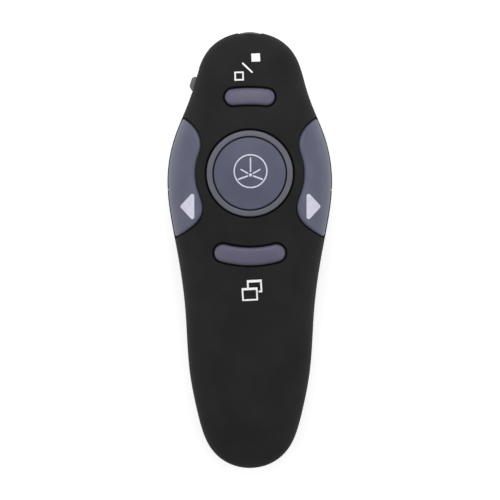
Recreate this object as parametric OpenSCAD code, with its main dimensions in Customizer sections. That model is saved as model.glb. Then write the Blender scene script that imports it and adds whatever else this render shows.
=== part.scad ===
// Wireless presentation clicker: hand-held remote with a laser key, two wing page keys,
// a blank-screen key, a window key, a side power slider and a pull-off battery cover.
// X is to the right, Y towards the laser nose, Z up through the keys. It rests on its back at z = 0.

/* [Hull in plan] */
// Room behind the stowed receiver, to the tip of the tail
tail_room = 8.6; // [8.5:0.1:10]
// Half width across the tail
tail_half_w = 13.05; // [12.6:0.05:13.6]
// Half width of the handle behind the middle
handle_half_w = 15.75; // [15.4:0.05:16.4]
// Half width of the slim waist
waist_half_w = 17.15; // [16.8:0.05:17.8]
// Half width where the palm swell begins
palm_half_w = 19.75; // [19.4:0.05:20.2]
// Half width at the widest point, beside the round key
crown_half_w = 21.9; // [21.6:0.05:22.4]
// Half width of the shoulder
shoulder_half_w = 19.65; // [19.4:0.05:20.2]
// Half width of the neck, beside the power slider
neck_half_w = 15.05; // [14.9:0.05:15.5]
// Plan radius of the tail tip
tail_tip_r = 13.5; // [12:0.5:15]
// Plan radius of the nose tip
nose_tip_r = 17; // [15:0.5:19]

/* [Hull in side view] */
// Height of the top above the seam at the tail
tail_rise = 7.2; // [7:0.1:8]
// Height of the top above the seam at the handle
handle_rise = 9; // [8.8:0.1:10]
// Height of the top above the seam at the waist
waist_rise = 10.5; // [10.2:0.1:11.4]
// Height of the top above the seam where the palm swell begins
palm_rise = 12; // [11.8:0.1:12.6]
// Height of the top above the seam under the round key
crown_rise = 13.7; // [13.5:0.1:14.1]
// Height of the top above the seam at the shoulder
shoulder_rise = 12.8; // [12.6:0.1:13.2]
// Height of the top above the seam at the neck
neck_rise = 10.4; // [10.2:0.1:11]
// Depth of the back below the seam at the tail
tail_drop = 9; // [8.8:0.1:9.8]
// Depth of the back below the seam at the handle
handle_drop = 11.6; // [11.4:0.1:12]
// Depth of the back below the seam at its deepest, under the palm
belly_drop = 12.6; // [12.4:0.1:13.2]
// Depth of the back below the seam at the shoulder
shoulder_drop = 12.2; // [11.9:0.1:12.6]
// Depth of the back below the seam at the neck
neck_drop = 9.8; // [9.5:0.1:10.4]
// How much of the belly is planed off to make the flat that it rests on
flat_depth = 0.6; // [0.4:0.05:0.8]
// Height radius of the tail tip
tail_tip_h = 3; // [2.4:0.2:4]
// Height radius of the nose tip
nose_tip_h = 7; // [6:0.5:8]
// Squareness of the upper cross-section (2 is an ellipse)
top_squareness = 2.3; // [2.2:0.05:2.5]
// Squareness of the lower cross-section (2 is an ellipse)
back_squareness = 2.5; // [2.4:0.05:2.7]

/* [Shells] */
// Wall of the moulded covers
wall = 1.8; // [1.6:0.05:1.9]
// Height of the lip that centres the upper cover in the lower ones
lip_h = 1.1; // [0.8:0.1:1.4]
// Thickness of that lip
lip_t = 0.9; // [0.7:0.1:1]
// Side clearance of that lip
lip_gap = 0.3; // [0.25:0.05:0.4]
// Distance of the battery cover's front edge behind the nose
cover_edge_back = 38; // [37.4:0.2:38.6]
// Plan radius of that edge
cover_edge_r = 60; // [50:5:90]
// Gap between the battery cover and its neighbours
cover_gap = 0.15; // [0.12:0.01:0.2]
// Number of thumb grooves in the battery cover
groove_count = 6; // [3:1:7]
// Spacing of those grooves
groove_pitch = 2; // [1.8:0.1:2.4]
// Width of those grooves
groove_w = 0.9; // [0.7:0.1:1.1]
// Depth of those grooves
groove_depth = 0.45; // [0.3:0.05:0.5]

/* [Keys] */
// Distance of the round laser key behind the nose
laser_key_back = 37.7; // [37.4:0.1:38]
// Radius of the ring around the laser key
ring_r = 11.4; // [11.2:0.05:11.6]
// Width of that ring
ring_w = 1.5; // [1.4:0.05:1.6]
// How far the ring stands above the crown
ring_proud = 0.45; // [0.35:0.05:0.6]
// Radius of the domed faces of the ring and its key
dome_r = 60; // [55:1:80]
// How far the laser key lies below its ring
laser_key_sunk = 0.4; // [0.3:0.05:0.5]
// Distance of the blank-screen key behind the nose
blank_key_back = 17.2; // [16.8:0.1:17.4]
// Length of the blank-screen key
blank_key_len = 13.2; // [12.4:0.1:13.8]
// Width of the blank-screen key
blank_key_w = 4.4; // [4.2:0.1:4.8]
// Radius that the blank-screen key is bent to
blank_bend_r = 39; // [34:1:60]
// Distance of the window key behind the nose
window_key_back = 59.75; // [59.2:0.05:60.4]
// Length of the window key
window_key_len = 18.8; // [18:0.1:19.4]
// Width of the window key
window_key_w = 4.7; // [4.4:0.1:5]
// Radius that the window key is bent to
window_bend_r = 26; // [24:1:40]
// How far the two capsule keys stand proud
key_proud = 0.7; // [0.5:0.05:0.9]
// Gap around each key
key_gap = 0.35; // [0.3:0.01:0.4]
// Travel of the keys
key_travel = 0.3; // [0.25:0.01:0.3]
// Thickness of the wing keys
wing_t = 2; // [1.8:0.05:2.1]
// Radius of the wing keys' hollow edge around the round key
wing_hollow_r = 14.75; // [14.6:0.05:14.9]
// Gap between a wing key's lower edge and the back covers
wing_skirt_gap = 0.5; // [0.5:0.05:0.7]
// Distance of the wing keys' pivot ahead of the round key
pivot_ahead = 13.1; // [12.9:0.1:13.3]
// Radius of the wing keys' pivot pegs
pivot_r = 0.8; // [0.7:0.05:0.9]
// Running clearance of those pegs
pivot_gap = 0.05; // [0.03:0.01:0.08]

/* [Power slider] */
// Distance of the slider behind the nose
slider_back = 13.9; // [13.7:0.1:14.1]
// Length of its grip
slider_len = 4; // [3.6:0.1:4.2]
// Height of its grip
slider_h = 2.6; // [2.4:0.1:2.8]
// How far the grip stands out of the side
slider_proud = 1.1; // [0.9:0.05:1.4]
// Travel of the slider
slider_travel = 2; // [1.6:0.1:2.2]

/* [Board and switches] */
// Thickness of the circuit board
board_t = 1; // [0.8:0.1:1.1]
// Side of a key switch
switch_side = 4.5; // [4.2:0.1:4.6]
// Height of a key switch body
switch_h = 2.6; // [2.5:0.05:2.8]
// Height of its plunger above the body
plunger_h = 0.7; // [0.6:0.05:0.8]
// Radius of the plunger
plunger_r = 1.1; // [0.9:0.05:1.2]

/* [Laser] */
// Radius of the laser module's barrel
barrel_r = 3; // [2.8:0.1:3.1]
// Length of that barrel
barrel_len = 8.6; // [8.2:0.1:8.8]
// Radius of the window in the nose
window_r = 3.4; // [3.2:0.05:3.5]

/* [Batteries and receiver] */
// Radius of a battery cell
cell_r = 5.25; // [5.15:0.05:5.25]
// Length of a battery cell with its contact nub
cell_len = 44.5; // [44:0.1:44.8]
// Gap between the two cells
cell_gap = 0.6; // [0.5:0.05:0.7]
// Height of the cells above the table
cell_lift = 2.5; // [2.45:0.05:2.6]
// Room beyond the cells for both contacts
contact_room = 4.5; // [4.2:0.1:4.8]
// Width of the receiver's plug
plug_w = 12; // [11.6:0.1:12]
// Height of the receiver's plug
plug_h = 4.5; // [4.3:0.1:4.6]
// Length of the receiver's plug
plug_len = 11.8; // [11:0.1:12]
// Width of the receiver's cap
cap_w = 13.6; // [13.2:0.1:13.8]
// Height of the receiver's cap
cap_h = 6.2; // [6:0.1:6.2]
// Length of the receiver's cap
cap_len = 7.4; // [7:0.1:7.6]

/* [Hidden] */
$fn = 64;

// Colours of the mouldings and metals
soft_black = "#2a2a2a";
key_grey = "#65656f";
slider_grey = "#696969";
board_green = "#1f5a3c";
switch_black = "#1c1c1c";
plunger_red = "#8a1f1f";
window_red = "#30141a";
lens_blue = "#b8d8e8";
sleeve_blue = "#3c5a8c";
tongue_white = "#ececec";
brass = "#c9a24b";
nickel = "#c8c9cc";
eps = 0.01;
far = 60;

// ---- Overall length: what lies behind one another from nose to tail ----
edge_step = 0.2;
divider_t = 1.2;
pocket_gap = 0.2;
bay_len = cell_len + contact_room;
receiver_len = cap_len + plug_len;
body_len = cover_edge_back - edge_step + bay_len + divider_t + pocket_gap + receiver_len + tail_room;
half_len = body_len / 2;
seam_z = belly_drop - flat_depth;

// ---- Places of the keys, from the nose ----
cover_edge_y = half_len - cover_edge_back;
laser_key_y = half_len - laser_key_back;
blank_key_y = half_len - blank_key_back;
window_key_y = half_len - window_key_back;
pivot_y = laser_key_y + pivot_ahead;
slider_y = half_len - slider_back;

// ---- Lengthwise curves: a natural cubic spline through the hull's stations ----
station_y = [-half_len + 11.5, -half_len + 24, -half_len + 42,
    half_len - 56, half_len - 39.5, half_len - 27, half_len - 15];
widths = [tail_half_w, handle_half_w, waist_half_w, palm_half_w, crown_half_w, shoulder_half_w, neck_half_w];
rises = [tail_rise, handle_rise, waist_rise, palm_rise, crown_rise, shoulder_rise, neck_rise];
drops = [tail_drop, handle_drop, belly_drop - 0.1, belly_drop, belly_drop, shoulder_drop, neck_drop];

function step_at(x, i) = x[i + 1] - x[i];
function slope_at(x, y, i) = (y[i + 1] - y[i]) / step_at(x, i);
function sweep_down(x, y, i) = i == 0 ? [[0, 0]] :
    let (above = sweep_down(x, y, i - 1),
         last = above[i - 1],
         pivot = 2 * (step_at(x, i - 1) + step_at(x, i)) - step_at(x, i - 1) * last[0],
         turn = 6 * (slope_at(x, y, i) - slope_at(x, y, i - 1)))
    concat(above, [[step_at(x, i) / pivot, (turn - step_at(x, i - 1) * last[1]) / pivot]]);
function climb_up(rows, i) = i == len(rows) ? [0] :
    let (rest = climb_up(rows, i + 1)) concat([rows[i][1] - rows[i][0] * rest[0]], rest);
function bends(x, y) = concat([0], climb_up(sweep_down(x, y, len(x) - 2), 1));
function knot_below(x, t, i = 0) = i == len(x) - 2 || t < x[i + 1] ? i : knot_below(x, t, i + 1);
function spline(x, y, m, t) =
    let (i = knot_below(x, t), h = step_at(x, i), a = (x[i + 1] - t) / h, b = (t - x[i]) / h)
    a * y[i] + b * y[i + 1] + ((pow(a, 3) - a) * m[i] + (pow(b, 3) - b) * m[i + 1]) * h * h / 6;

// A hull size is its spline times roundness, which rounds off both tips
function roundness(y) = sqrt(max(0, 1 - pow(y / half_len, 2)));
function fullness(sizes, tail_r, nose_r) = concat([sqrt(tail_r * half_len)],
    [for (i = [0 : len(sizes) - 1]) sizes[i] / roundness(station_y[i])], [sqrt(nose_r * half_len)]);
knots = concat([-half_len], station_y, [half_len]);
w_knots = fullness(widths, tail_tip_r, nose_tip_r);
rise_knots = fullness(rises, tail_tip_h, nose_tip_h);
drop_knots = fullness(drops, tail_tip_h, nose_tip_h);
w_bends = bends(knots, w_knots);
rise_bends = bends(knots, rise_knots);
drop_bends = bends(knots, drop_knots);
function half_w(y) = spline(knots, w_knots, w_bends, y) * roundness(y);
function rise(y) = spline(knots, rise_knots, rise_bends, y) * roundness(y);
function drop(y) = spline(knots, drop_knots, drop_bends, y) * roundness(y);

// Height of the outer skin over a point of the plan
function roof_z(x, y) = seam_z + rise(y)
    * pow(1 - pow(min(1, abs(x) / half_w(y)), top_squareness), 1 / top_squareness);
function back_z(x, y) = max(0, seam_z - drop(y)
    * pow(1 - pow(min(1, abs(x) / half_w(y)), back_squareness), 1 / back_squareness));
function roof_tilt(y) = atan(roof_z(0, y + 0.5) - roof_z(0, y - 0.5));

// ---- Skins: rows of superelliptic sections, closed by a point at each tip ----
row_count = 40;
col_count = 20;
row_len = col_count + 1;
tip_zone = 14;
function row_y(i) = -half_len * cos(180 * i / row_count);
function row_of(y) = round(acos(-y / half_len) * row_count / 180);
function tip_share(y) = max(0, (abs(y) - half_len + tip_zone) / tip_zone);
function is_tip(i) = i == 0 || i == row_count;
function section(i, inset, up) =
    let (y = row_y(i),
         share = tip_share(y),
         cut = inset * sqrt(1 - share * share),
         n = up ? top_squareness : back_squareness,
         w = half_w(y) - cut,
         h = (up ? rise(y) : drop(y)) - cut)
    is_tip(i) ? [[0, y - sign(y) * inset, seam_z]] :
    [for (j = [0 : col_count]) let (a = 180 * j / col_count)
        [w * sign(cos(a)) * pow(abs(cos(a)), 2 / n),
         y - sign(y) * inset * share,
         seam_z + (up ? 1 : -1) * h * pow(abs(sin(a)), 2 / n)]];

// Half of the hull between two rows, as a shell between two insets
module half_shell(up, outer, inner, first = 0, last = row_count) {
    start = is_tip(first) ? 1 : row_len;
    skin_len = start + (last - first - 1) * row_len + (is_tip(last) ? 1 : row_len);
    function at(i, j) = (i == first ? 0 : start + (i - first - 1) * row_len) + (is_tip(i) ? 0 : j);
    function wound(f, flip) = flip ? [f[2], f[1], f[0]] : f;
    function halves(a, b, c, d) = [[a, b, c], [a, c, d]];
    function proper(f) = f[0] != f[1] && f[1] != f[2] && f[2] != f[0];
    function shifted(f, by) = [f[0] + by, f[1] + by, f[2] + by];
    skin = [for (i = [first : last - 1]) for (j = [0 : col_count - 1])
        each halves(at(i, j), at(i + 1, j), at(i + 1, j + 1), at(i, j + 1))];
    rim = [for (i = [first : last - 1]) each concat(
        halves(at(i, 0) + skin_len, at(i + 1, 0) + skin_len, at(i + 1, 0), at(i, 0)),
        halves(at(i, col_count), at(i + 1, col_count), at(i + 1, col_count) + skin_len,
            at(i, col_count) + skin_len))];
    ends = concat(
        is_tip(first) ? [] : [for (j = [0 : col_count - 1])
            each halves(at(first, j + 1) + skin_len, at(first, j) + skin_len, at(first, j), at(first, j + 1))],
        is_tip(last) ? [] : [for (j = [0 : col_count - 1])
            each halves(at(last, j), at(last, j) + skin_len, at(last, j + 1) + skin_len, at(last, j + 1))]);
    polyhedron(
        points = concat([for (i = [first : last]) each section(i, outer, up)],
            [for (i = [first : last]) each section(i, inner, up)]),
        faces = concat(
            [for (f = skin) if (proper(f)) wound(f, up)],
            [for (f = skin) if (proper(f)) wound(shifted(f, skin_len), !up)],
            [for (f = rim) if (proper(f)) wound(f, up)],
            [for (f = ends) if (proper(f)) wound(f, up)]));
}

// Plan outline of the hull, set in by a distance
function plan_side(inset) = [for (i = [0 : row_count])
    let (y = row_y(i), share = tip_share(y))
    [is_tip(i) ? 0 : half_w(y) - inset * sqrt(1 - share * share), y - sign(y) * inset * share]];
module plan(inset) {
    side = plan_side(inset);
    polygon(concat(side, [for (i = [row_count - 1 : -1 : 1]) [-side[i][0], side[i][1]]]));
}
module plan_ring(outer, inner) {
    difference() {
        plan(outer);
        plan(inner);
    }
}

module pair_x() {
    children();
    mirror([1, 0, 0]) children();
}

module block(low, high) {
    translate(low) cube(high - low);
}

// ---- Heights of the stack inside ----
cell_axis_z = cell_lift + cell_r;
deck_gap = 0.2;
deck_t = 1;
deck_low = cell_lift + 2 * cell_r + deck_gap;
deck_top = deck_low + deck_t;
board_top = deck_top + board_t;
switch_top = board_top + switch_h;
plunger_top = switch_top + plunger_h;
stem_gap = 0.05;
stem_low = plunger_top + stem_gap;

// ---- Bent strips, and the bent capsules of the blank-screen and window keys ----
// The bend is positive where the ends curl towards the tail
module bent_strip(length, width, bend) {
    swing = asin(length / 2 / abs(bend));
    translate([0, -bend]) intersection() {
        difference() {
            circle(abs(bend) + width / 2, $fn = 180);
            circle(abs(bend) - width / 2, $fn = 180);
        }
        polygon([[0, 0], [-2 * bend * tan(swing), 2 * bend], [2 * bend * tan(swing), 2 * bend]]);
    }
}
module bent_capsule(length, width, bend) {
    spine = length - width;
    bent_strip(spine, width, bend);
    for (side = [-1, 1])
        translate([0, -bend]) rotate(-side * asin(spine / 2 / abs(bend))) translate([0, bend])
            circle(width / 2);
}

// A pillow face: an arc across, revolved about an axis along X
module pillow(across_r, along_r, length) {
    rotate([0, 90, 0]) rotate_extrude($fn = 96) intersection() {
        translate([across_r - along_r, 0]) circle(along_r, $fn = 240);
        translate([0, -length]) square([across_r + 1, 2 * length]);
    }
}

// ---- Wing keys: plan outline through its edge points ----
// Points of the left wing's inner edge; the middle three lie on the hollow around the round key
hollow_mid = [-wing_hollow_r, laser_key_y];
function hollow_point(a) = [-wing_hollow_r * cos(a), laser_key_y + wing_hollow_r * sin(a)];
function beside_key(x, ahead) = [x, laser_key_y + ahead];
wing_edge = [beside_key(-23, -18), beside_key(-19.66, -16.72), beside_key(-16.2, -14.65),
    beside_key(-13.75, -12.35), beside_key(-12.75, -9.5), beside_key(-13.3, -6.6),
    hollow_point(-15), hollow_mid, hollow_point(15), beside_key(-13.5, 6.2), beside_key(-13.4, 8.7),
    beside_key(-14.7, 11.8), beside_key(-17.7, 14.67), beside_key(-23, 17.3)];
function chord(p, i) = i == 0 ? 0 : chord(p, i - 1) + norm(p[i] - p[i - 1]);
wing_chord = [for (i = [0 : len(wing_edge) - 1]) chord(wing_edge, i)];
wing_x = [for (p = wing_edge) p[0]];
wing_y = [for (p = wing_edge) p[1]];
wing_x_bends = bends(wing_chord, wing_x);
wing_y_bends = bends(wing_chord, wing_y);
function wing_point(t) =
    [spline(wing_chord, wing_x, wing_x_bends, t), spline(wing_chord, wing_y, wing_y_bends, t)];
wing_steps = 44;
module wing_plan(grow) {
    full = wing_chord[len(wing_chord) - 1];
    edge = [for (k = [0 : wing_steps])
        let (t = full * k / wing_steps,
             ahead = wing_point(min(full, t + 0.05)) - wing_point(max(0, t - 0.05)),
             out = [ahead[1], -ahead[0]] / norm(ahead))
        wing_point(t) + grow * out];
    polygon(concat(edge, [beside_key(-30, 19.7 + grow), beside_key(-30, -21.3 - grow)]));
}

// Centre of the wing keys' switch plungers
wing_switch = [14.2, laser_key_y - 9.3];
pivot_z = board_top + 1.4;
peg_bore_r = pivot_r + pivot_gap;
ear_in = 12.5;
ear_out = 13.7;
ear_half = 1.3;
ear_gap = 0.35;
lug_in = ear_out + ear_gap;
lug_t = 1.7;
arm_t = 0.9;
arm_up = 0.5;
arm_down = 1;
presser_r = 1.2;

// Ribs, ears and posts run this far into a wall, measured from its outer skin
root_depth = 0.8;

// The lip stops this far short of both tips, and its root stands this high on the rim
lip_end = 7;
lip_root_h = 1.5;
lip_root_in = 1;

// ---- Screws ----
screw_shank_r = 1;
screw_head_r = 1.9;
screw_head_h = 1.4;
screw_dome_r = 2.6;
screw_fit = 0.05;
head_fit = 0.2;
post_r = 2.1;
screw_pass = 0.15;
nose_post_r = 2.7;
board_screw_len = 6;
blind_room = 0.5;
front_screw = [6.2, half_len - 8.8];
bay_front = cover_edge_y + edge_step;
bay_rear = bay_front - bay_len;
rear_screw = [10.1, bay_rear - divider_t - post_r - 1.4];
board_screw = [10, laser_key_y + 9.7];
front_seat_z = seam_z - 3.5;
rear_seat_z = deck_low - 3.7;
screw_reach = 8;
rear_reach = 7;

// ---- Battery bay ----
bulkhead_t = 1.4;
bulkhead_half = 8;
bulkhead_foot = 1;
cell_x = cell_r + cell_gap / 2;
bay_in = 2 * cell_r + cell_gap / 2 + 0.2;
bay_wall = 1;
bay_out = bay_in + bay_wall;
rail_low = cell_axis_z - 0.15;
rail_t = 1;
rail_out = bay_out + 1.2;
rail_front = bay_front - 1.5;
ledge_gap = 0.1;
ledge_in = bay_out + 0.4;
ledge_t = 1;
ledge_front = cover_edge_y - 5;
rail_rear = bay_rear - divider_t;
cell_rib_half = 0.5;
cell_rib_gap = 0.2;
cell_rib_front = cover_edge_y - 4;
cell_rib_rear = bay_rear + 6.8;
contact_t = 0.4;
contact_w = 8;
contact_h = 7;
tab_half = 1;
bridge_half = 1.5;
spring_base_r = 3;
spring_tip_r = 1.9;
spring_wire_r = 0.25;
spring_turns = 4;
nub_r = 2.6;
nub_len = 0.8;

// ---- Receiver pocket: its walls stop short of the battery cover ----
receiver_z = deck_low - 0.1 - cap_h / 2;
cap_rear = bay_rear - divider_t - pocket_gap - cap_len;
plug_rear = cap_rear - plug_len;
pocket_wall = 1;
cap_wall_low = receiver_z - cap_h / 2 + 0.6;
plug_wall_low = receiver_z - plug_h / 2 + 0.8;
cap_corner_r = 1;
plug_seat = 4;
plug_fit = 0.05;
plug_sheet = 0.3;
latch_x = 2.6;
latch_half = 1.1;
latch_rear = 5;
latch_len = 2.2;
tongue_t = 1.8;
tongue_fit = 0.1;

// ---- Power slider: it runs along the side wall, on the seam, and moves a switch under the board ----
wall_turn = -atan((half_w(slider_y + 1) - half_w(slider_y - 1)) / 2);
can_len = 6.6;
can_w = 2.7;
can_h = 1.4;
can_x = half_w(slider_y) - 9.2;
slide_z = deck_top - can_h / 2;
slider_z = seam_z;
slider_in = 3.8;
prong_out = 2.6;
prong_half = 1.6;
slider_bow = 1.8;
lever_tip = 2.8;
lever_in = 0.4;
lever_w = 1.4;
lever_t = 0.8;
lever_fit = 0.05;
lever_room = 0.1;
fork_room = 0.2;
module along_wall() {
    translate([-half_w(slider_y), slider_y, 0]) rotate(-wall_turn) children();
}

// ---- Laser module, on the seam behind the nose window ----
window_gap = 0.4;
window_seat = 0.05;
flange_t = 0.8;
flange_w = 0.8;
flange_in = 4.4;
flange_room = 0.2;
flange_bore_in = 1.6;
nose_dome_r = 9;
barrel_front = half_len - flange_in - window_gap;
barrel_rear = barrel_front - barrel_len;
lens_seat = 1.6;
lens_t = 1.5;
lens_ball_r = 5;
lens_fit = 0.05;
barrel_wall = 0.6;
beam_r = 1;
driver_t = 0.8;
cradle_t = 1.2;
cradle_wall = 1.4;
cradle_places = [half_len - 11.6, half_len - 7.8];

// ---- Ring of the laser key: seated on a collar under the upper cover ----
ring_top = seam_z + rise(laser_key_y) + ring_proud;
collar_r = ring_r + 1.9;
collar_under = 0.3;
ring_seat_z = roof_z(collar_r, laser_key_y) - wall - collar_under;
ring_flange_t = 1;
ring_flange_r = collar_r - 0.4;
ring_rim_r = 0.35;
ring_skirt_w = 0.6;
ring_step = 2.2;
ring_key_gap = 0.2;
key_skirt_r = ring_r - 0.8;
key_skirt_h = 0.95;
laser_stem_r = 2;

// ---- Capsule keys: crown radii across and along each face ----
capsule_stem_r = 1.4;
leg_half = 0.8;
leg_in = 2;
leg_out = 0.4;
tab_t = 0.9;
tab_gap = 0.7;
tab_reach = 1;
tab_room = 0.2;
blank_crown_r = 7;
blank_along_r = 30;
window_crown_r = 8;
window_along_r = 38;

// ---- Thumb grooves of the battery cover: each is shorter than the one before ----
groove_start = 8;
groove_len = 12;
groove_step = 0.8;
groove_bend_r = 30;

// ================= Covers =================
module key_openings() {
    translate([0, laser_key_y, seam_z]) cylinder(r = ring_r + screw_fit, h = far);
    translate([0, blank_key_y, seam_z + 1]) linear_extrude(far)
        bent_capsule(blank_key_len + 2 * key_gap, blank_key_w + 2 * key_gap, blank_bend_r);
    translate([0, window_key_y, seam_z + 1]) linear_extrude(far)
        bent_capsule(window_key_len + 2 * key_gap, window_key_w + 2 * key_gap, -window_bend_r);
    pair_x() translate([0, 0, seam_z - lip_h - 1]) linear_extrude(far) wing_plan(key_gap);
}

// Opening in the side for the slider, long enough for its travel
module slider_slot() {
    along_wall() block([-3, -slider_len / 2 - key_gap, slider_z - slider_h / 2 - key_gap],
        [wall + 3, slider_len / 2 + slider_travel + key_gap, slider_z + slider_h / 2 + key_gap]);
}

module nose_bore() {
    translate([0, half_len - flange_in - flange_bore_in, seam_z]) rotate([-90, 0, 0]) {
        cylinder(r = window_r + screw_fit, h = far);
        cylinder(r = window_r + flange_w + flange_room, h = flange_bore_in + flange_t + window_seat);
    }
}

module top_post(place, low, reach) {
    top = roof_z(place[0] + post_r, place[1]) - root_depth;
    translate([place[0], place[1], low]) difference() {
        cylinder(r = post_r, h = top - low);
        translate([0, 0, -eps]) cylinder(r = screw_shank_r + screw_fit, h = reach);
    }
}

module top_cover() color(soft_black) {
    difference() {
        union() {
            half_shell(true, 0, wall);
            // Lip and its root inside the rim
            translate([0, 0, seam_z]) linear_extrude(lip_root_h) plan_ring(lip_root_in, wall + lip_gap + lip_t);
            translate([0, 0, seam_z - lip_h]) linear_extrude(lip_h + eps) intersection() {
                plan_ring(wall + lip_gap, wall + lip_gap + lip_t);
                square([far * 2, 2 * (half_len - lip_end)], center = true);
            }
            // Collar that the ring seats on
            translate([0, laser_key_y, ring_seat_z])
                cylinder(r = collar_r, h = roof_z(collar_r, laser_key_y) - collar_under - ring_seat_z);
        }
        key_openings();
        slider_slot();
        nose_bore();
    }
    // Ears of the wing keys' pivots
    pair_x() difference() {
        block([ear_in, pivot_y - ear_half, pivot_z - ear_half],
            [ear_out, pivot_y + ear_half, roof_z(ear_out, pivot_y + ear_half) - root_depth]);
        translate([0, pivot_y, pivot_z]) rotate([0, 90, 0]) cylinder(r = peg_bore_r, h = far);
    }
    // Screw posts
    pair_x() top_post(front_screw, seam_z, front_seat_z + screw_reach + blind_room - seam_z);
    pair_x() top_post(rear_screw, deck_top, rear_seat_z + rear_reach + blind_room - deck_top);
}

module flat_trim() {
    translate([0, 0, -far / 2]) cube([far * 3, far * 3, far], center = true);
}

// Curved edge between the battery cover and the bottom cover
module edge_disc(grow) {
    translate([0, cover_edge_y - cover_edge_r, -1]) cylinder(r = cover_edge_r + grow, h = far, $fn = 180);
}

module deck_plan() {
    tail = plug_rear - pocket_gap - pocket_wall;
    neck = plug_w / 2 + pocket_gap + pocket_wall;
    step_y = rear_screw[1] - post_r - 0.6;
    difference() {
        polygon([[-bay_out, bay_front + bulkhead_t], [bay_out, bay_front + bulkhead_t], [bay_out, step_y],
            [neck, cap_rear], [neck, tail], [-neck, tail], [-neck, cap_rear], [-bay_out, step_y]]);
        pair_x() translate(rear_screw) circle(screw_shank_r + screw_pass);
    }
}

module battery_tray() {
    // Deck over the bay, which carries the board
    translate([0, 0, deck_low]) linear_extrude(deck_t) deck_plan();
    // Front wall of the bay, standing on the bottom cover
    block([-bay_out, bay_front, cell_lift + bay_wall], [bay_out, bay_front + bulkhead_t, deck_low + eps]);
    block([-bulkhead_half, bay_front, bulkhead_foot],
        [bulkhead_half, bay_front + bulkhead_t, cell_lift + bay_wall + eps]);
    // Side walls and the rails that the battery cover slides on
    pair_x() {
        block([bay_in, bay_rear - divider_t, rail_low], [bay_out, bay_front + eps, deck_low + eps]);
        block([bay_in + eps, rail_rear, rail_low], [rail_out, rail_front, rail_low + rail_t]);
        // Receiver pocket walls
        block([cap_w / 2 + pocket_gap, cap_rear - pocket_gap, cap_wall_low],
            [cap_w / 2 + pocket_gap + pocket_wall, bay_rear - divider_t + eps, deck_low + eps]);
        block([plug_w / 2 + pocket_gap, plug_rear - pocket_gap - eps, plug_wall_low],
            [plug_w / 2 + pocket_gap + pocket_wall, cap_rear - pocket_gap, deck_low + eps]);
        block([plug_w / 2 + pocket_gap, cap_rear - pocket_gap - pocket_wall, plug_wall_low],
            [cap_w / 2 + pocket_gap + pocket_wall, cap_rear - pocket_gap + eps, deck_low + eps]);
        // Rear screw posts
        difference() {
            translate([rear_screw[0], rear_screw[1], rear_seat_z])
                cylinder(r = post_r, h = deck_low - rear_seat_z + eps);
            translate([rear_screw[0], rear_screw[1], 0]) cylinder(r = screw_shank_r + screw_pass, h = far);
        }
    }
    // Rear wall of the bay
    block([-bay_out, bay_rear - divider_t, rail_low], [bay_out, bay_rear, deck_low + eps]);
    block([-bulkhead_half, bay_rear - divider_t, cell_axis_z - contact_h / 2],
        [bulkhead_half, bay_rear, rail_low + eps]);
    // Rear wall of the receiver pocket
    pocket_out = plug_w / 2 + pocket_gap + pocket_wall;
    block([-pocket_out, plug_rear - pocket_gap - pocket_wall, plug_wall_low],
        [pocket_out, plug_rear - pocket_gap, deck_low + eps]);
}

module cradle(y) {
    half = barrel_r + cradle_wall;
    difference() {
        block([-half, y, back_z(half, y) + root_depth], [half, y + cradle_t, seam_z]);
        translate([0, 0, seam_z]) rotate([-90, 0, 0]) cylinder(r = barrel_r + screw_fit, h = far * 2);
    }
}

module bottom_cover() color(soft_black) {
    nose_root_z = back_z(front_screw[0] - nose_post_r, front_screw[1]) + root_depth;
    board_root_z = back_z(board_screw[0], board_screw[1]) + root_depth;
    difference() {
        union() {
            half_shell(false, 0, wall, first = row_of(cover_edge_y) - 3);
            // Nose posts, rooted in the wall
            difference() {
                pair_x() translate([front_screw[0], front_screw[1], nose_root_z])
                    cylinder(r = nose_post_r, h = seam_z - nose_root_z);
                half_shell(false, -nose_post_r, root_depth, first = row_of(front_screw[1]) - 3);
            }
        }
        edge_disc(cover_gap);
        flat_trim();
        nose_bore();
        slider_slot();
        pair_x() translate([front_screw[0], front_screw[1], -1]) {
            cylinder(r = screw_head_r + head_fit, h = front_seat_z + 1);
            cylinder(r = screw_shank_r + screw_pass, h = far);
        }
    }
    battery_tray();
    pair_x() difference() {
        translate([board_screw[0], board_screw[1], board_root_z])
            cylinder(r = post_r, h = deck_top - board_root_z);
        translate([board_screw[0], board_screw[1], board_top - board_screw_len - blind_room])
            cylinder(r = screw_shank_r + screw_fit, h = far);
    }
    for (y = cradle_places)
        cradle(y);
}

module battery_cover() color(soft_black) {
    difference() {
        intersection() {
            half_shell(false, 0, wall, last = row_of(cover_edge_y) + 3);
            edge_disc(0);
        }
        flat_trim();
        // Clearance under the upper cover's rim
        block([-far, -far * 2, seam_z - cover_gap], [far, far * 2, seam_z + 1]);
        // Thumb grooves
        for (k = [0 : groove_count - 1])
            translate([0, cover_edge_y - groove_start - k * groove_pitch, -1]) linear_extrude(1 + groove_depth)
                bent_strip(groove_len - k * groove_step, groove_w, groove_bend_r);
    }
    // Ledges that ride on the tray's rails
    translate([0, 0, rail_low + rail_t + ledge_gap]) linear_extrude(ledge_t) intersection() {
        plan(root_depth);
        pair_x() translate([ledge_in, rail_rear]) square([far, ledge_front - rail_rear]);
    }
    // Cradle ribs under the cells
    pair_x() block([cell_x - cell_rib_half, cell_rib_rear, root_depth],
        [cell_x + cell_rib_half, cell_rib_front, cell_lift - cell_rib_gap]);
}

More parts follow.
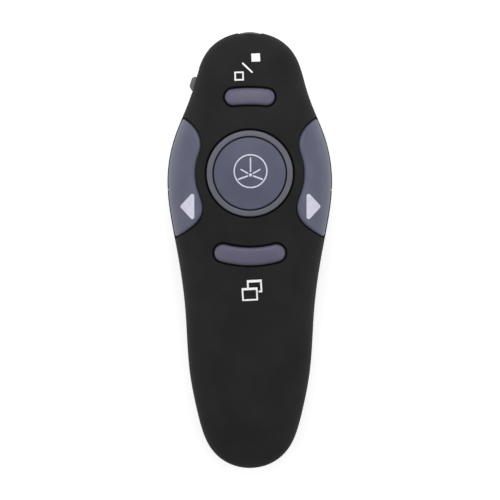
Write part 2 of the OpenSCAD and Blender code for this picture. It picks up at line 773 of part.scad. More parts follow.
// ================= Keys =================
module wing_key() {
    lug_rear = pivot_y - 3.4;
    lug_front = lug_rear + 1.4;
    peg_in = ear_in - 0.2;
    intersection() {
        half_shell(true, 0, wing_t, first = row_of(laser_key_y - 24.3), last = row_of(laser_key_y + 20.7));
        translate([0, 0, seam_z + wing_skirt_gap]) linear_extrude(far) wing_plan(0);
    }
    mirror([1, 0, 0]) {
        // Rib that presses the switch
        translate([wing_switch[0], wing_switch[1], stem_low]) cylinder(r = presser_r,
            h = roof_z(wing_switch[0] + presser_r, wing_switch[1]) - root_depth - stem_low);
        // Lug, arm and pivot peg
        block([lug_in, lug_rear, pivot_z - arm_down],
            [lug_in + lug_t, lug_front, roof_z(lug_in + lug_t, lug_front) - root_depth]);
        block([lug_in, lug_rear, pivot_z - arm_down], [lug_in + arm_t, pivot_y + arm_t, pivot_z + arm_up]);
        translate([peg_in, pivot_y, pivot_z]) rotate([0, 90, 0])
            cylinder(r = pivot_r, h = lug_in - peg_in + 0.2);
    }
}
module previous_key() color(key_grey) wing_key();
module next_key() color(key_grey) mirror([1, 0, 0]) wing_key();

// A disc with a domed top and a rounded rim, as a revolved profile
module domed_profile(r, low, top) {
    rim_top = top - dome_r + sqrt(pow(dome_r, 2) - pow(r - ring_rim_r, 2));
    intersection() {
        translate([0, top - dome_r]) circle(dome_r, $fn = 360);
        translate([0, low]) square([r - ring_rim_r, far]);
    }
    translate([0, low]) square([r, rim_top - ring_rim_r - low]);
    translate([r - ring_rim_r, rim_top - ring_rim_r]) circle(ring_rim_r, $fn = 32);
}

ring_step_z = ring_top - ring_step;
module key_ring() color(key_grey) translate([0, laser_key_y, 0]) rotate_extrude($fn = 96) {
    difference() {
        union() {
            domed_profile(ring_r, ring_seat_z - ring_flange_t, ring_top);
            translate([0, ring_seat_z - ring_flange_t]) square([ring_flange_r, ring_flange_t]);
        }
        translate([-1, 0]) square([1 + ring_r - ring_w, far]);
        translate([-1, 0]) square([1 + ring_r - ring_skirt_w, ring_step_z]);
    }
}

// The laser key's skirt lies under the ring's step, which keeps the key in
module laser_key() color(key_grey) translate([0, laser_key_y, 0]) rotate_extrude($fn = 96) {
    domed_profile(ring_r - ring_w - ring_key_gap, ring_step_z - 1, ring_top - laser_key_sunk);
    translate([0, ring_step_z - 1]) square([key_skirt_r, key_skirt_h]);
    translate([0, stem_low]) square([laser_stem_r, ring_step_z - 0.5 - stem_low]);
}

module capsule_key(y, length, width, bend, across_r, along_r) {
    tilt = roof_tilt(y);
    top = roof_z(0, y) + key_proud;
    low = stem_low + 1;
    tab_x = length / 2 + tab_reach + tab_room;
    tab_top = min(roof_z(tab_x, y - 2 * leg_half), roof_z(tab_x, y + 2 * leg_half)) - wall - tab_gap;
    foot = abs(bend) - sqrt(pow(bend, 2) - pow(length / 2 - tab_reach, 2));
    translate([0, y, 0]) intersection() {
        translate([0, 0, low]) linear_extrude(far) bent_capsule(length, width, bend);
        translate([0, -across_r * sin(-tilt), top - across_r * cos(tilt)]) pillow(across_r, along_r, length);
    }
    translate([0, y, stem_low]) cylinder(r = capsule_stem_r, h = low - stem_low + 1);
    // Legs and the tabs that keep the key in
    pair_x() translate([0, y - sign(bend) * foot, 0]) {
        block([length / 2 - leg_in, -leg_half, tab_top - tab_t], [length / 2 - leg_out, leg_half, low + 1]);
        block([length / 2 - tab_reach, -leg_half, tab_top - tab_t],
            [length / 2 + tab_reach, leg_half, tab_top]);
    }
}
module blank_key() color(key_grey)
    capsule_key(blank_key_y, blank_key_len, blank_key_w, blank_bend_r, blank_crown_r, blank_along_r);
module window_key() color(key_grey)
    capsule_key(window_key_y, window_key_len, window_key_w, -window_bend_r, window_crown_r, window_along_r);

// ================= Power slider =================
module power_slider() color(slider_grey) {
    low = slider_z - slider_h / 2;
    along_wall() difference() {
        union() {
            intersection() {
                block([-slider_proud, -slider_len / 2, low], [slider_in, slider_len / 2, low + slider_h]);
                translate([slider_bow, 0, low]) cylinder(r = slider_bow + slider_proud, h = slider_h);
            }
            block([prong_out, -prong_half, slider_z], [slider_in, prong_half, slide_z + lever_t / 2]);
        }
        // Fork round the switch lever
        block([lever_tip - fork_room, -lever_w / 2 - lever_fit, slide_z - lever_t / 2 - lever_fit],
            [far, lever_w / 2 + lever_fit, far]);
    }
}

module slide_switch() color(nickel) along_wall() difference() {
    block([can_x - can_w / 2, -can_len / 2, deck_top - can_h], [can_x + can_w / 2, can_len / 2, deck_top]);
    block([can_x - can_w, -lever_w / 2 - lever_room, slide_z - lever_t / 2 - lever_fit],
        [can_x + lever_in + 0.2, lever_w / 2 + slider_travel + lever_room, slide_z + lever_t / 2 + lever_fit]);
}

module slide_lever() color(switch_black) along_wall()
    block([lever_tip, -lever_w / 2, slide_z - lever_t / 2],
        [can_x + lever_in, lever_w / 2, slide_z + lever_t / 2]);

// ================= Board, switches and chips =================
board_edge = 0.55;
board_neck = 10.6;
module board_plan() {
    rear = rear_screw[1] + post_r + 3.4;
    front = barrel_rear - 0.4;
    tongue = slider_y + can_len / 2 + 0.2;
    wide = wing_switch[0] + switch_side / 2 + board_edge;
    neck = board_neck;
    inner = -front_screw[0] - post_r - 0.3;
    half = [[13, rear], beside_key(14.5, -26.3), beside_key(wide, -16.3), beside_key(wide, 5.7),
        beside_key(neck, 18.7)];
    polygon(concat(half, [[neck, front], [inner, front], [inner, tongue], [-neck, tongue]],
        [for (i = [len(half) - 1 : -1 : 0]) [-half[i][0], half[i][1]]]));
}
pin_x = 1.27;
pin_r = 0.3;
pin_fit = 0.1;
pin_proud = 0.6;
pin_low = deck_top - 1.4;
pin_y = barrel_rear - 1;
module circuit_board() color(board_green) difference() {
    translate([0, 0, deck_top]) linear_extrude(board_t) board_plan();
    pair_x() translate([board_screw[0], board_screw[1], 0]) cylinder(r = screw_shank_r + screw_pass, h = far);
    pair_x() translate([pin_x, pin_y, 0]) cylinder(r = pin_r + pin_fit, h = far, $fn = 24);
}

plunger_fit = 0.12;
plunger_in = 0.7;
well_room = 0.2;
switch_well = plunger_in + key_travel + well_room;
module key_switch(place) color(switch_black) translate([place[0], place[1], board_top]) difference() {
    translate([-switch_side / 2, -switch_side / 2, 0]) cube([switch_side, switch_side, switch_h]);
    translate([0, 0, switch_h - switch_well]) cylinder(r = plunger_r + plunger_fit, h = far);
}
module plunger(place) color(plunger_red) translate([place[0], place[1], switch_top - plunger_in])
    cylinder(r = plunger_r, h = plunger_h + plunger_in);
module previous_switch() key_switch([-wing_switch[0], wing_switch[1]]);
module next_switch() key_switch(wing_switch);
module laser_switch() key_switch([0, laser_key_y]);
module blank_switch() key_switch([0, blank_key_y]);
module window_switch() key_switch([0, window_key_y]);
module previous_plunger() plunger([-wing_switch[0], wing_switch[1]]);
module next_plunger() plunger(wing_switch);
module laser_plunger() plunger([0, laser_key_y]);
module blank_plunger() plunger([0, blank_key_y]);
module window_plunger() plunger([0, window_key_y]);

chip_y = window_key_y - 18.25;
radio_side = 5;
radio_h = 0.9;
controller_size = [3.9, 8.6, 1.5];
crystal_len = 10.2;
crystal_w = 3.8;
crystal_h = 3.4;
radio_place = [1, chip_y + 7, board_top];
controller_place = [-8.5, chip_y, board_top];
crystal_place = [4.4, chip_y, board_top];
module radio_chip() color(switch_black) translate(radio_place) cube([radio_side, radio_side, radio_h]);
module controller_chip() color(switch_black) translate(controller_place) cube(controller_size);
module crystal() color(nickel) translate(crystal_place) linear_extrude(crystal_h) {
    square([crystal_len - crystal_w, crystal_w], center = true);
    for (side = [-1, 1])
        translate([side * (crystal_len - crystal_w) / 2, 0]) circle(crystal_w / 2);
}

// ================= Laser =================
module laser_barrel() color(brass) translate([0, barrel_rear, seam_z]) rotate([-90, 0, 0]) difference() {
    cylinder(r = barrel_r, h = barrel_len);
    translate([0, 0, barrel_len - lens_seat]) cylinder(r = barrel_r - barrel_wall, h = far);
    translate([0, 0, -1]) cylinder(r = beam_r, h = far);
}
module laser_lens() color(lens_blue)
    translate([0, barrel_front - lens_seat, seam_z]) rotate([-90, 0, 0]) intersection() {
        cylinder(r = barrel_r - barrel_wall - lens_fit, h = lens_t);
        translate([0, 0, lens_t - lens_ball_r]) sphere(r = lens_ball_r, $fn = 96);
    }
module laser_driver() color(board_green) {
    block([-barrel_r, barrel_rear - driver_t, seam_z - barrel_r], [barrel_r, barrel_rear, deck_top - 0.1]);
    // Two pins, bent up through the circuit board
    pair_x() translate([pin_x, pin_y, pin_low])
        cylinder(r = pin_r, h = board_top + pin_proud - pin_low, $fn = 24);
    pair_x() block([pin_x - pin_r, pin_y - pin_r, pin_low - pin_r],
        [pin_x + pin_r, barrel_rear - driver_t + eps, pin_low + pin_r]);
}
module nose_window() color(window_red) translate([0, half_len - flange_in, seam_z]) {
    rotate([-90, 0, 0]) cylinder(r = window_r + flange_w, h = flange_t);
    intersection() {
        rotate([-90, 0, 0]) cylinder(r = window_r, h = far);
        translate([0, flange_in - nose_dome_r, 0]) sphere(r = nose_dome_r, $fn = 96);
    }
}

// ================= Batteries and contacts =================
plate_gap = 0.1;
module cell() rotate([-90, 0, 0]) rotate_extrude() {
    square([cell_r, cell_len - nub_len]);
    square([nub_r, cell_len]);
}
left_cell_y = bay_rear + contact_t + plate_gap;
right_cell_y = bay_front - contact_t - plate_gap - cell_len;
module left_cell() color(sleeve_blue)
    translate([-cell_x, left_cell_y + cell_len, cell_axis_z]) mirror([0, 1, 0]) cell();
module right_cell() color(sleeve_blue) translate([cell_x, right_cell_y, cell_axis_z]) cell();

// Conical coil spring: a round wire swept along its own helix, from its base up.
// Half of the first wire is sunk into the plate that it stands on
module coil(base_r, tip_r, height, wire_r, turns) {
    sides = 6;
    per_turn = 16;
    rings = turns * per_turn;
    function centre(k) = let (s = k / rings, r = base_r + (tip_r - base_r) * s)
        [r * cos(360 * k / per_turn), r * sin(360 * k / per_turn), (height - wire_r) * s];
    function hoop(k) = let (c = centre(k), a = 360 * k / per_turn)
        [for (j = [0 : sides - 1]) let (b = 360 * j / sides)
            c + wire_r * [cos(b) * cos(a), cos(b) * sin(a), sin(b)]];
    polyhedron(points = [for (k = [0 : rings]) each hoop(k)],
        faces = concat([[for (j = [sides - 1 : -1 : 0]) j]],
            [[for (j = [0 : sides - 1]) rings * sides + j]],
            [for (k = [0 : rings - 1]) for (j = [0 : sides - 1])
                let (a = k * sides + j, b = k * sides + (j + 1) % sides)
                for (f = [[b + sides, a + sides, a], [b, b + sides, a]]) f]));
}

coil_len = contact_room - 2 * contact_t - plate_gap - 0.05;
module contact_spring() {
    coil(spring_base_r, spring_tip_r, coil_len, spring_wire_r, spring_turns);
}
module contact_plate(x, y) {
    block([x - contact_w / 2, y, cell_axis_z - contact_h / 2],
        [x + contact_w / 2, y + contact_t, cell_axis_z + contact_h / 2]);
}
module solder_tab(x, y) {
    block([x - tab_half, y, cell_axis_z], [x + tab_half, y + contact_t, deck_low]);
}
module negative_contact() color(nickel) {
    contact_plate(-cell_x, bay_front - contact_t);
    solder_tab(-cell_x, bay_front - contact_t);
    translate([-cell_x, bay_front - contact_t, cell_axis_z]) rotate([90, 0, 0]) contact_spring();
}
module positive_contact() color(nickel) {
    contact_plate(cell_x, bay_front - contact_t);
    solder_tab(cell_x, bay_front - contact_t);
}
module bridge_contact() color(nickel) {
    contact_plate(-cell_x, bay_rear);
    contact_plate(cell_x, bay_rear);
    block([-cell_x, bay_rear, cell_axis_z - bridge_half],
        [cell_x, bay_rear + contact_t, cell_axis_z + bridge_half]);
    translate([cell_x, bay_rear + contact_t, cell_axis_z]) rotate([-90, 0, 0]) contact_spring();
}

// ================= Screws: pan heads =================
module screw(length) rotate_extrude($fn = 32) {
    intersection() {
        square([screw_head_r, screw_head_h]);
        translate([0, screw_dome_r]) circle(screw_dome_r);
    }
    translate([0, screw_head_h - eps]) square([screw_shank_r, length]);
}
module case_screws() color(nickel) {
    pair_x() translate([front_screw[0], front_screw[1], front_seat_z - screw_head_h]) screw(screw_reach);
    pair_x() translate([rear_screw[0], rear_screw[1], rear_seat_z - screw_head_h]) screw(rear_reach);
}
module board_screws() color(nickel) pair_x()
    translate([board_screw[0], board_screw[1], board_top + screw_head_h]) mirror([0, 0, 1])
        screw(board_screw_len);

// ================= Receiver =================
module rounded_rect(w, h, r) {
    square([w - 2 * r, h], center = true);
    square([w, h - 2 * r], center = true);
    for (x = [-1, 1])
        for (y = [-1, 1])
            translate([x * (w / 2 - r), y * (h / 2 - r)]) circle(r);
}
module receiver_cap() color(soft_black) difference() {
    translate([0, cap_rear, receiver_z]) rotate([-90, 0, 0]) linear_extrude(cap_len)
        rounded_rect(cap_w, cap_h, cap_corner_r);
    block([-plug_w / 2, cap_rear - 1, receiver_z - plug_h / 2],
        [plug_w / 2, cap_rear + plug_seat, receiver_z + plug_h / 2]);
}
// The plug's rectangle, set in all round by a distance
module plug_block(inset, rear, front) {
    block([-plug_w / 2 + inset, rear, receiver_z - plug_h / 2 + inset],
        [plug_w / 2 - inset, front, receiver_z + plug_h / 2 - inset]);
}
module receiver_shell() color(nickel) difference() {
    plug_block(plug_fit, plug_rear, cap_rear + plug_seat);
    plug_block(plug_fit + plug_sheet, plug_rear - 1, cap_rear + plug_seat - 0.5);
    // Latch windows
    for (side = [-1, 1])
        block([side * latch_x - latch_half, plug_rear + latch_rear, receiver_z - plug_h],
            [side * latch_x + latch_half, plug_rear + latch_rear + latch_len, receiver_z + plug_h]);
}
tongue_inset = plug_fit + plug_sheet + tongue_fit;
tongue_low = receiver_z - plug_h / 2 + plug_fit + plug_sheet + plug_fit;
module receiver_tongue() color(tongue_white)
    block([-plug_w / 2 + tongue_inset, plug_rear + plug_sheet + tongue_fit, tongue_low],
        [plug_w / 2 - tongue_inset, cap_rear + plug_seat - 0.6, tongue_low + tongue_t]);

top_cover();
bottom_cover();
battery_cover();
previous_key();
next_key();
laser_key();
key_ring();
blank_key();
window_key();
power_slider();
nose_window();
circuit_board();
laser_barrel();
laser_lens();
laser_driver();
previous_switch();
next_switch();
laser_switch();
blank_switch();
window_switch();
previous_plunger();
next_plunger();
laser_plunger();
blank_plunger();
window_plunger();
slide_switch();
slide_lever();
radio_chip();
controller_chip();
crystal();
left_cell();
right_cell();
negative_contact();
positive_contact();
bridge_contact();
case_screws();
board_screws();
receiver_cap();
receiver_shell();
receiver_tongue();
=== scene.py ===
import math

import bpy
import mathutils
import numpy as np
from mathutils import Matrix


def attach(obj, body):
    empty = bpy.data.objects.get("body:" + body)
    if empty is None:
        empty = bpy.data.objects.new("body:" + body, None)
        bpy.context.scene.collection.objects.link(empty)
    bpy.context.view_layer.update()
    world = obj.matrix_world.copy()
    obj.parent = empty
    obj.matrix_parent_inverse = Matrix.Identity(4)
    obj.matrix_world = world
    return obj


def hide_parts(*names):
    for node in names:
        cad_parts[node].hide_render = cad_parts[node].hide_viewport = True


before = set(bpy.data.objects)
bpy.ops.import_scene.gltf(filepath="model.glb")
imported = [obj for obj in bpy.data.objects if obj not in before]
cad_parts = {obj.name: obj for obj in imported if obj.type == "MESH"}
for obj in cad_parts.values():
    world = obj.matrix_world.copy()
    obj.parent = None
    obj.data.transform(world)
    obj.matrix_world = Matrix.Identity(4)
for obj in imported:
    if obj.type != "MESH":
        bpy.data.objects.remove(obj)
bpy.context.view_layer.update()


# ==== Upper cover ====
# The upper half of the case: black ABS about 1.8 mm thick, injection moulded, with a soft-touch lacquer.
# It has an opening for each key and closes on the two lower covers along one level seam.
# The hull is a row of superelliptic sections along Y, so its form is worked out here in millimetres.
MM = 0.001
HALF_LEN = 58.0
SEAM_Z = 12.0
WALL = 1.8
# At each station along Y: half the width, and how far the hull rises over the seam and drops below it
STATIONS = [-46.5, -34.0, -16.0, 2.0, 18.5, 31.0, 43.0]
HALF_WIDTHS = [13.05, 15.75, 17.15, 19.75, 21.9, 19.65, 15.05]
RISES = [7.2, 9.0, 10.5, 12.0, 13.7, 12.8, 10.4]
DROPS = [9.0, 11.6, 12.5, 12.6, 12.6, 12.2, 9.8]
TOP_SQUARENESS = 2.3
BACK_SQUARENESS = 2.5
# This near to a tip, the lining draws back along Y as well
TIP_ZONE = 14.0


def natural_spline(places, sizes):
    """The smooth curve of a draughtsman's spline through the stations."""
    x, y = np.array(places), np.array(sizes)
    h = np.diff(x)
    count = len(x)
    rows, right = np.eye(count), np.zeros(count)
    for i in range(1, count - 1):
        rows[i, i - 1:i + 2] = h[i - 1], 2 * (h[i - 1] + h[i]), h[i]
        right[i] = 6 * ((y[i + 1] - y[i]) / h[i] - (y[i] - y[i - 1]) / h[i - 1])
    m = np.linalg.solve(rows, right)

    def curve(t):
        i = np.clip(np.searchsorted(x, t, side="right") - 1, 0, count - 2)
        a, b = (x[i + 1] - t) / h[i], (t - x[i]) / h[i]
        return a * y[i] + b * y[i + 1] + ((a**3 - a) * m[i] + (b**3 - b) * m[i + 1]) * h[i] ** 2 / 6
    return curve


def roundness(y):
    return np.sqrt(np.maximum(0.0, 1 - (np.asarray(y) / HALF_LEN) ** 2))


def hull_curve(sizes, tail_tip, nose_tip):
    """A size of the hull along its length, rounded off at the tips, whose radii are given."""
    fullness = [s / roundness(y) for s, y in zip(sizes, STATIONS)]
    ends = math.sqrt(tail_tip * HALF_LEN), math.sqrt(nose_tip * HALF_LEN)
    curve = natural_spline([-HALF_LEN, *STATIONS, HALF_LEN], [ends[0], *fullness, ends[1]])
    return lambda y: curve(y) * roundness(y)


half_width = hull_curve(HALF_WIDTHS, 13.5, 17.0)
rise = hull_curve(RISES, 3.0, 7.0)
drop = hull_curve(DROPS, 3.0, 7.0)


def skin(angle, y, top=True, inset=0.0):
    """Points of the hull's skin: angle 0 is the right seam, pi the left one. An inset gives the lining."""
    n = TOP_SQUARENESS if top else BACK_SQUARENESS
    share = np.clip((np.abs(y) - HALF_LEN + TIP_ZONE) / TIP_ZONE, 0, 1)
    less = inset * np.sqrt(1 - share**2)
    c, s = np.cos(angle), np.abs(np.sin(angle))
    x = (half_width(y) - less) * np.sign(c) * np.abs(c) ** (2 / n)
    h = ((rise(y) if top else drop(y)) - less) * s ** (2 / n)
    z = SEAM_Z + h if top else np.maximum(0.0, SEAM_Z - h)
    return np.stack(np.broadcast_arrays(x, y - np.sign(y) * inset * share, z), -1)


def roof(x, y):
    """Height of the upper skin over a place in plan."""
    share = np.minimum(1.0, np.abs(x) / half_width(y)) ** TOP_SQUARENESS
    return SEAM_Z + rise(y) * (1 - share) ** (1 / TOP_SQUARENESS)


def only(piece):
    bpy.ops.object.select_all(action="DESELECT")
    piece.select_set(True)
    bpy.context.view_layer.objects.active = piece


def shape(piece, operator, chosen=None, **settings):
    """Runs one edit-mode operator on the chosen vertices, or on all of them."""
    only(piece)
    bpy.ops.object.mode_set(mode="EDIT")
    bpy.ops.mesh.select_mode(type="VERT")
    bpy.ops.mesh.select_all(action="SELECT" if chosen is None else "DESELECT")
    if chosen is not None:
        bpy.ops.object.mode_set(mode="OBJECT")
        piece.data.vertices.foreach_set("select", np.asarray(chosen, bool))
        bpy.ops.object.mode_set(mode="EDIT")
    operator(**settings)
    bpy.ops.object.mode_set(mode="OBJECT")


def modified(piece, kind, **settings):
    """Adds a modifier and applies it."""
    only(piece)
    modifier = piece.modifiers.new(kind.title(), kind)
    for key, value in settings.items():
        setattr(modifier, key, value)
    bpy.ops.object.modifier_apply(modifier=modifier.name)


def sheet(name, points):
    """A grid primitive whose crossings are drawn out to the given rows of points, in millimetres."""
    rows, cols = points.shape[:2]
    bpy.ops.object.select_all(action="DESELECT")
    bpy.ops.mesh.primitive_grid_add(x_subdivisions=cols - 1, y_subdivisions=rows - 1, size=2)
    piece = bpy.context.object
    piece.name = piece.data.name = name
    crossings = np.zeros(rows * cols * 3)
    piece.data.vertices.foreach_get("co", crossings)
    u, v = ((crossings.reshape(-1, 3)[:, :2] + 1) / 2).T
    place = points[np.rint(v * (rows - 1)).astype(int), np.rint(u * (cols - 1)).astype(int)]
    piece.data.vertices.foreach_set("co", (place * MM).ravel())
    piece.data.update()
    return piece


def loft(name, loops, closed=False):
    """A solid through a row of closed loops, its ends filled unless the row itself closes."""
    loops = np.array([np.vstack([loop, loop[:1]]) for loop in loops])
    if closed:
        loops = np.concatenate([loops, loops[:1]])
    piece = sheet(name, loops)
    shape(piece, bpy.ops.mesh.remove_doubles, threshold=2e-6)
    if not closed:
        shape(piece, bpy.ops.mesh.select_non_manifold, extend=False)
        shape(piece, bpy.ops.mesh.fill_holes, sides=0)
    shape(piece, bpy.ops.mesh.normals_make_consistent, inside=False)
    return piece


def shell(name, outer, lining):
    """A moulded wall: its skin and its lining, closed along the rim, at the tips and across a parting edge."""
    rows = np.concatenate([outer, lining[:, ::-1]], axis=1)
    if np.ptp(outer[0, :, 0]) > 0.01:
        middle = (outer[:1] + lining[:1]) / 2
        rows = np.concatenate([np.concatenate([middle, middle[:, ::-1]], axis=1), rows])
    return loft(name, rows)


def cut(piece, cutter, operation="DIFFERENCE"):
    modified(piece, "BOOLEAN", object=cutter, operation=operation, solver="EXACT")
    bpy.data.objects.remove(cutter)


def at_height(plan, z):
    return np.column_stack([plan, np.broadcast_to(z, len(plan))])


def ring_plan(centre, radius, steps=128):
    turn = np.linspace(0, 2 * np.pi, steps, endpoint=False)
    return np.array(centre) + radius * np.column_stack([np.cos(turn), np.sin(turn)])


def capsule_plan(centre, length, width, bend, steps=24, straight=30):
    """A capsule whose spine is an arc; a positive bend curls its ends towards the tail."""
    swing = math.asin((length - width) / 2 / abs(bend))
    side = np.sign(bend)
    along = np.linspace(-swing, swing, straight)
    outer, inner = abs(bend) + width / 2, abs(bend) - width / 2
    arc = lambda r, a: np.column_stack([r * np.sin(a), side * (r * np.cos(a) - abs(bend))])
    turn = np.linspace(0, np.pi, steps)[1:-1]

    def end(a, sign):
        spine = np.array([abs(bend) * math.sin(a), side * abs(bend) * (math.cos(a) - 1)])
        out = np.array([math.sin(a), side * math.cos(a)])
        tip = np.array([math.cos(a), -side * math.sin(a)]) * sign
        return spine + width / 2 * (np.cos(turn)[:, None] * out + np.sin(turn)[:, None] * tip)
    right, left = end(swing, 1), end(-swing, -1)
    return np.array(centre) + np.vstack([arc(outer, along), right, arc(inner, along[::-1]), left[::-1]])


LASER_KEY_Y = 20.3
BLANK_KEY_Y = 40.8
WINDOW_KEY_Y = -1.75
RING_R = 11.4
# The left wing's wavy inner edge, from tail to nose, measured from the round key, round which it runs in an arc
WING_HOLLOW_R = 14.75
WING_HOLLOW = [(-WING_HOLLOW_R * math.cos(turn), WING_HOLLOW_R * math.sin(turn))
               for turn in (-math.radians(15), 0, math.radians(15))]
WING_EDGE = np.array([
    (-23, -18), (-19.66, -16.72), (-16.2, -14.65), (-13.75, -12.35), (-12.75, -9.5), (-13.3, -6.6),
    *WING_HOLLOW, (-13.5, 6.2), (-13.4, 8.7), (-14.7, 11.8), (-17.7, 14.67), (-23, 17.3)])
WING_EDGE = WING_EDGE + np.array([0, LASER_KEY_Y])
chords = np.concatenate([[0], np.cumsum(np.linalg.norm(np.diff(WING_EDGE, axis=0), axis=1))])
wing_x, wing_y = natural_spline(chords, WING_EDGE[:, 0]), natural_spline(chords, WING_EDGE[:, 1])


def wing_line(grow, steps=120):
    """The left wing key's inner edge in plan, moved towards the middle by a distance."""
    t = np.linspace(0, chords[-1], steps)
    ahead = np.column_stack([wing_x(t + 0.02) - wing_x(t - 0.02), wing_y(t + 0.02) - wing_y(t - 0.02)])
    ahead /= np.linalg.norm(ahead, axis=1)[:, None]
    return np.column_stack([wing_x(t), wing_y(t)]) + grow * np.column_stack([ahead[:, 1], -ahead[:, 0]])


def wing_plan(grow):
    """The left wing's inner edge, closed by a straight line well outside the case."""
    outside = np.array([(-30, LASER_KEY_Y + 19.7 + grow), (-30, LASER_KEY_Y - 21.3 - grow)])
    return np.vstack([wing_line(grow), outside])


def opening(plan, low, lip):
    """A cutter for a hole through the upper cover, flared so that it leaves a rounded lip."""
    loops = [at_height(plan(0), low)]
    for turn in np.radians([0, 22.5, 45, 67.5, 82]):
        here = plan(lip * (1 - math.cos(turn)))
        loops.append(at_height(here, np.maximum(low + 0.3, roof(*here.T) - lip * (1 - math.sin(turn)))))
    wide = plan(lip + 0.1)
    loops.append(at_height(wide, roof(*wide.T) + 0.6))
    loops.append(at_height(wide, 40.0))
    return loft("cutter", loops)


# The two lower covers part along an arc, which has its foremost point here
COVER_EDGE_Y = 20.0
COVER_EDGE_R = 60.0
# A rim is rounded by a quarter circle of three points: how far in and how far along, as shares of its radius
RIM_ROUND = 0.22
ROUNDING = [(1.0, 0.0), (0.29, 0.29), (0.0, 1.0)]


def rim_angle(y, top, depth):
    """The section angle at which the skin has left the seam by a depth."""
    h = rise(y) if top else drop(y)
    squareness = TOP_SQUARENESS if top else BACK_SQUARENESS
    return np.arcsin(np.clip(depth / np.maximum(h, 1e-6), 0, 0.25) ** (squareness / 2))


def half_skin(top, rows, cols, inset=0.0, gap=0.0, edge_r=None, ahead=1):
    """Rows of points over half of the hull, from tail to nose or from the parting line to one of them.

    The outer skin's rim and parting edge are rounded; the lining, which is inset, has plain ones.
    The gap is how far the rim stops short of the seam.
    """
    side = [(0.0, inset, gap)] * 3 if inset else [(0.0, RIM_ROUND * i, gap + RIM_ROUND * d) for i, d in ROUNDING]
    t = np.linspace(0, 1, cols - 4)[1:-1]
    if inset:
        t = np.linspace(0, 1, cols)[3:-3]
        side = [(k / (cols - 1), inset, gap) for k in range(3)]
    columns = side + [(v, inset, side[2][2]) for v in t] + [(1 - v, i, d) for v, i, d in side[::-1]]
    place, sunk, depth = (np.array(column)[None, :] for column in zip(*columns))

    def angle_at(y):
        start = rim_angle(y, top, depth)
        return start + (np.pi - 2 * start) * place

    share = np.linspace(0, 1, rows)[:, None]
    if edge_r is None:
        y = -HALF_LEN * np.cos(np.pi * share) + 0 * place
    else:
        edge = COVER_EDGE_Y + 0 * place
        for _ in range(30):
            x = skin(angle_at(edge), edge, top, sunk)[..., 0]
            edge = COVER_EDGE_Y - COVER_EDGE_R + np.sqrt(edge_r**2 - x**2)
        tip = ahead * HALF_LEN
        y = edge + (tip - edge) * np.sin(share * np.pi / 2)
        if not inset:
            way_in, way_along = RIM_ROUND * np.array(ROUNDING).T
            share = np.linspace(0, 1, rows - 2)[1:, None]
            start = edge + RIM_ROUND * ahead
            y = np.vstack([edge + ahead * way_along[:, None], start + (tip - start) * np.sin(share * np.pi / 2)])
            at_edge = np.zeros((rows, 1))
            at_edge[:3, 0] = way_in
            sunk = np.maximum(sunk, at_edge)
    shrink = np.minimum(1.0, 0.25 * (rise(y) if top else drop(y)) / RIM_ROUND) if not inset else 1.0
    return skin(angle_at(y), y, top, sunk * shrink)


top_cover = shell("upper_cover", half_skin(True, 160, 101), half_skin(True, 160, 101, inset=WALL))

# Each key stands in an opening with an even gap and a rounded lip
KEY_GAP = 0.48
LIP = 0.3
BLANK_KEY = {"length": 13.2, "width": 4.4, "bend": 39.0}
WINDOW_KEY = {"length": 18.8, "width": 4.7, "bend": -26.0}


def grown_capsule(y, key, grow):
    """The plan of a capsule key with an even margin all round."""
    return capsule_plan((0, y), key["length"] + 2 * grow, key["width"] + 2 * grow, key["bend"])


cut(top_cover, opening(lambda grow: ring_plan((0, LASER_KEY_Y), RING_R + KEY_GAP + grow), SEAM_Z + 1, LIP))
cut(top_cover, opening(lambda grow: grown_capsule(BLANK_KEY_Y, BLANK_KEY, KEY_GAP + grow), SEAM_Z + 1, LIP))
cut(top_cover, opening(lambda grow: grown_capsule(WINDOW_KEY_Y, WINDOW_KEY, KEY_GAP + grow), SEAM_Z + 1, LIP))
cut(top_cover, opening(lambda grow: wing_plan(KEY_GAP + grow), SEAM_Z - 3, LIP))
cut(top_cover, opening(lambda grow: wing_plan(KEY_GAP + grow) * np.array([-1, 1]), SEAM_Z - 3, LIP))


def nose_bore(radius, start, end):
    """A plain round cutter along the nose's axis."""
    x, z = ring_plan((0, SEAM_Z), radius, 64).T
    return loft("cutter", [np.column_stack([x, np.full(64, y), z]) for y in (start, end)])


# The laser's window, 3.4 mm in radius, has a gap of 0.05 mm
WINDOW_BORE = {"radius": 3.45, "start": 50.0, "end": 60.0}
cut(top_cover, nose_bore(**WINDOW_BORE))

# The power slider, its run towards the nose and its slot
SLIDER_Y = 44.1
SLIDER_H = 2.6
SLIDER_HALF = 2.0
SLIDER_RUN = 2.0
SLOT_GAP = 0.35
wall_lean = math.atan(float(half_width(SLIDER_Y + 1) - half_width(SLIDER_Y - 1)) / 2)


def slider_slot():
    """A cutter for the slot that the power slider runs in: square to the wall, half of it in each cover."""
    tail, nose = -SLIDER_HALF - SLOT_GAP, SLIDER_HALF + SLIDER_RUN + SLOT_GAP
    x, y = np.array([(WALL + 3, nose), (-3, nose), (-3, tail), (WALL + 3, tail)]).T
    c, s = math.cos(wall_lean), math.sin(wall_lean)
    plan = np.column_stack([-half_width(SLIDER_Y) + c * x - s * y, SLIDER_Y + s * x + c * y])
    return loft("cutter", [at_height(plan, SEAM_Z + side * (SLIDER_H / 2 + SLOT_GAP)) for side in (-1, 1)])


cut(top_cover, slider_slot())


def smooth(piece, angle=35):
    only(piece)
    bpy.ops.object.shade_smooth_by_angle(angle=math.radians(angle))


def keep(piece, body, slot, material, *nodes):
    """Gives a finished piece its body and material; it stands for the CAD nodes that are named. Its slot is not
    used.
    """
    piece.data.materials.clear()
    piece.data.materials.append(material)
    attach(piece, body)
    if nodes:
        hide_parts(*nodes)


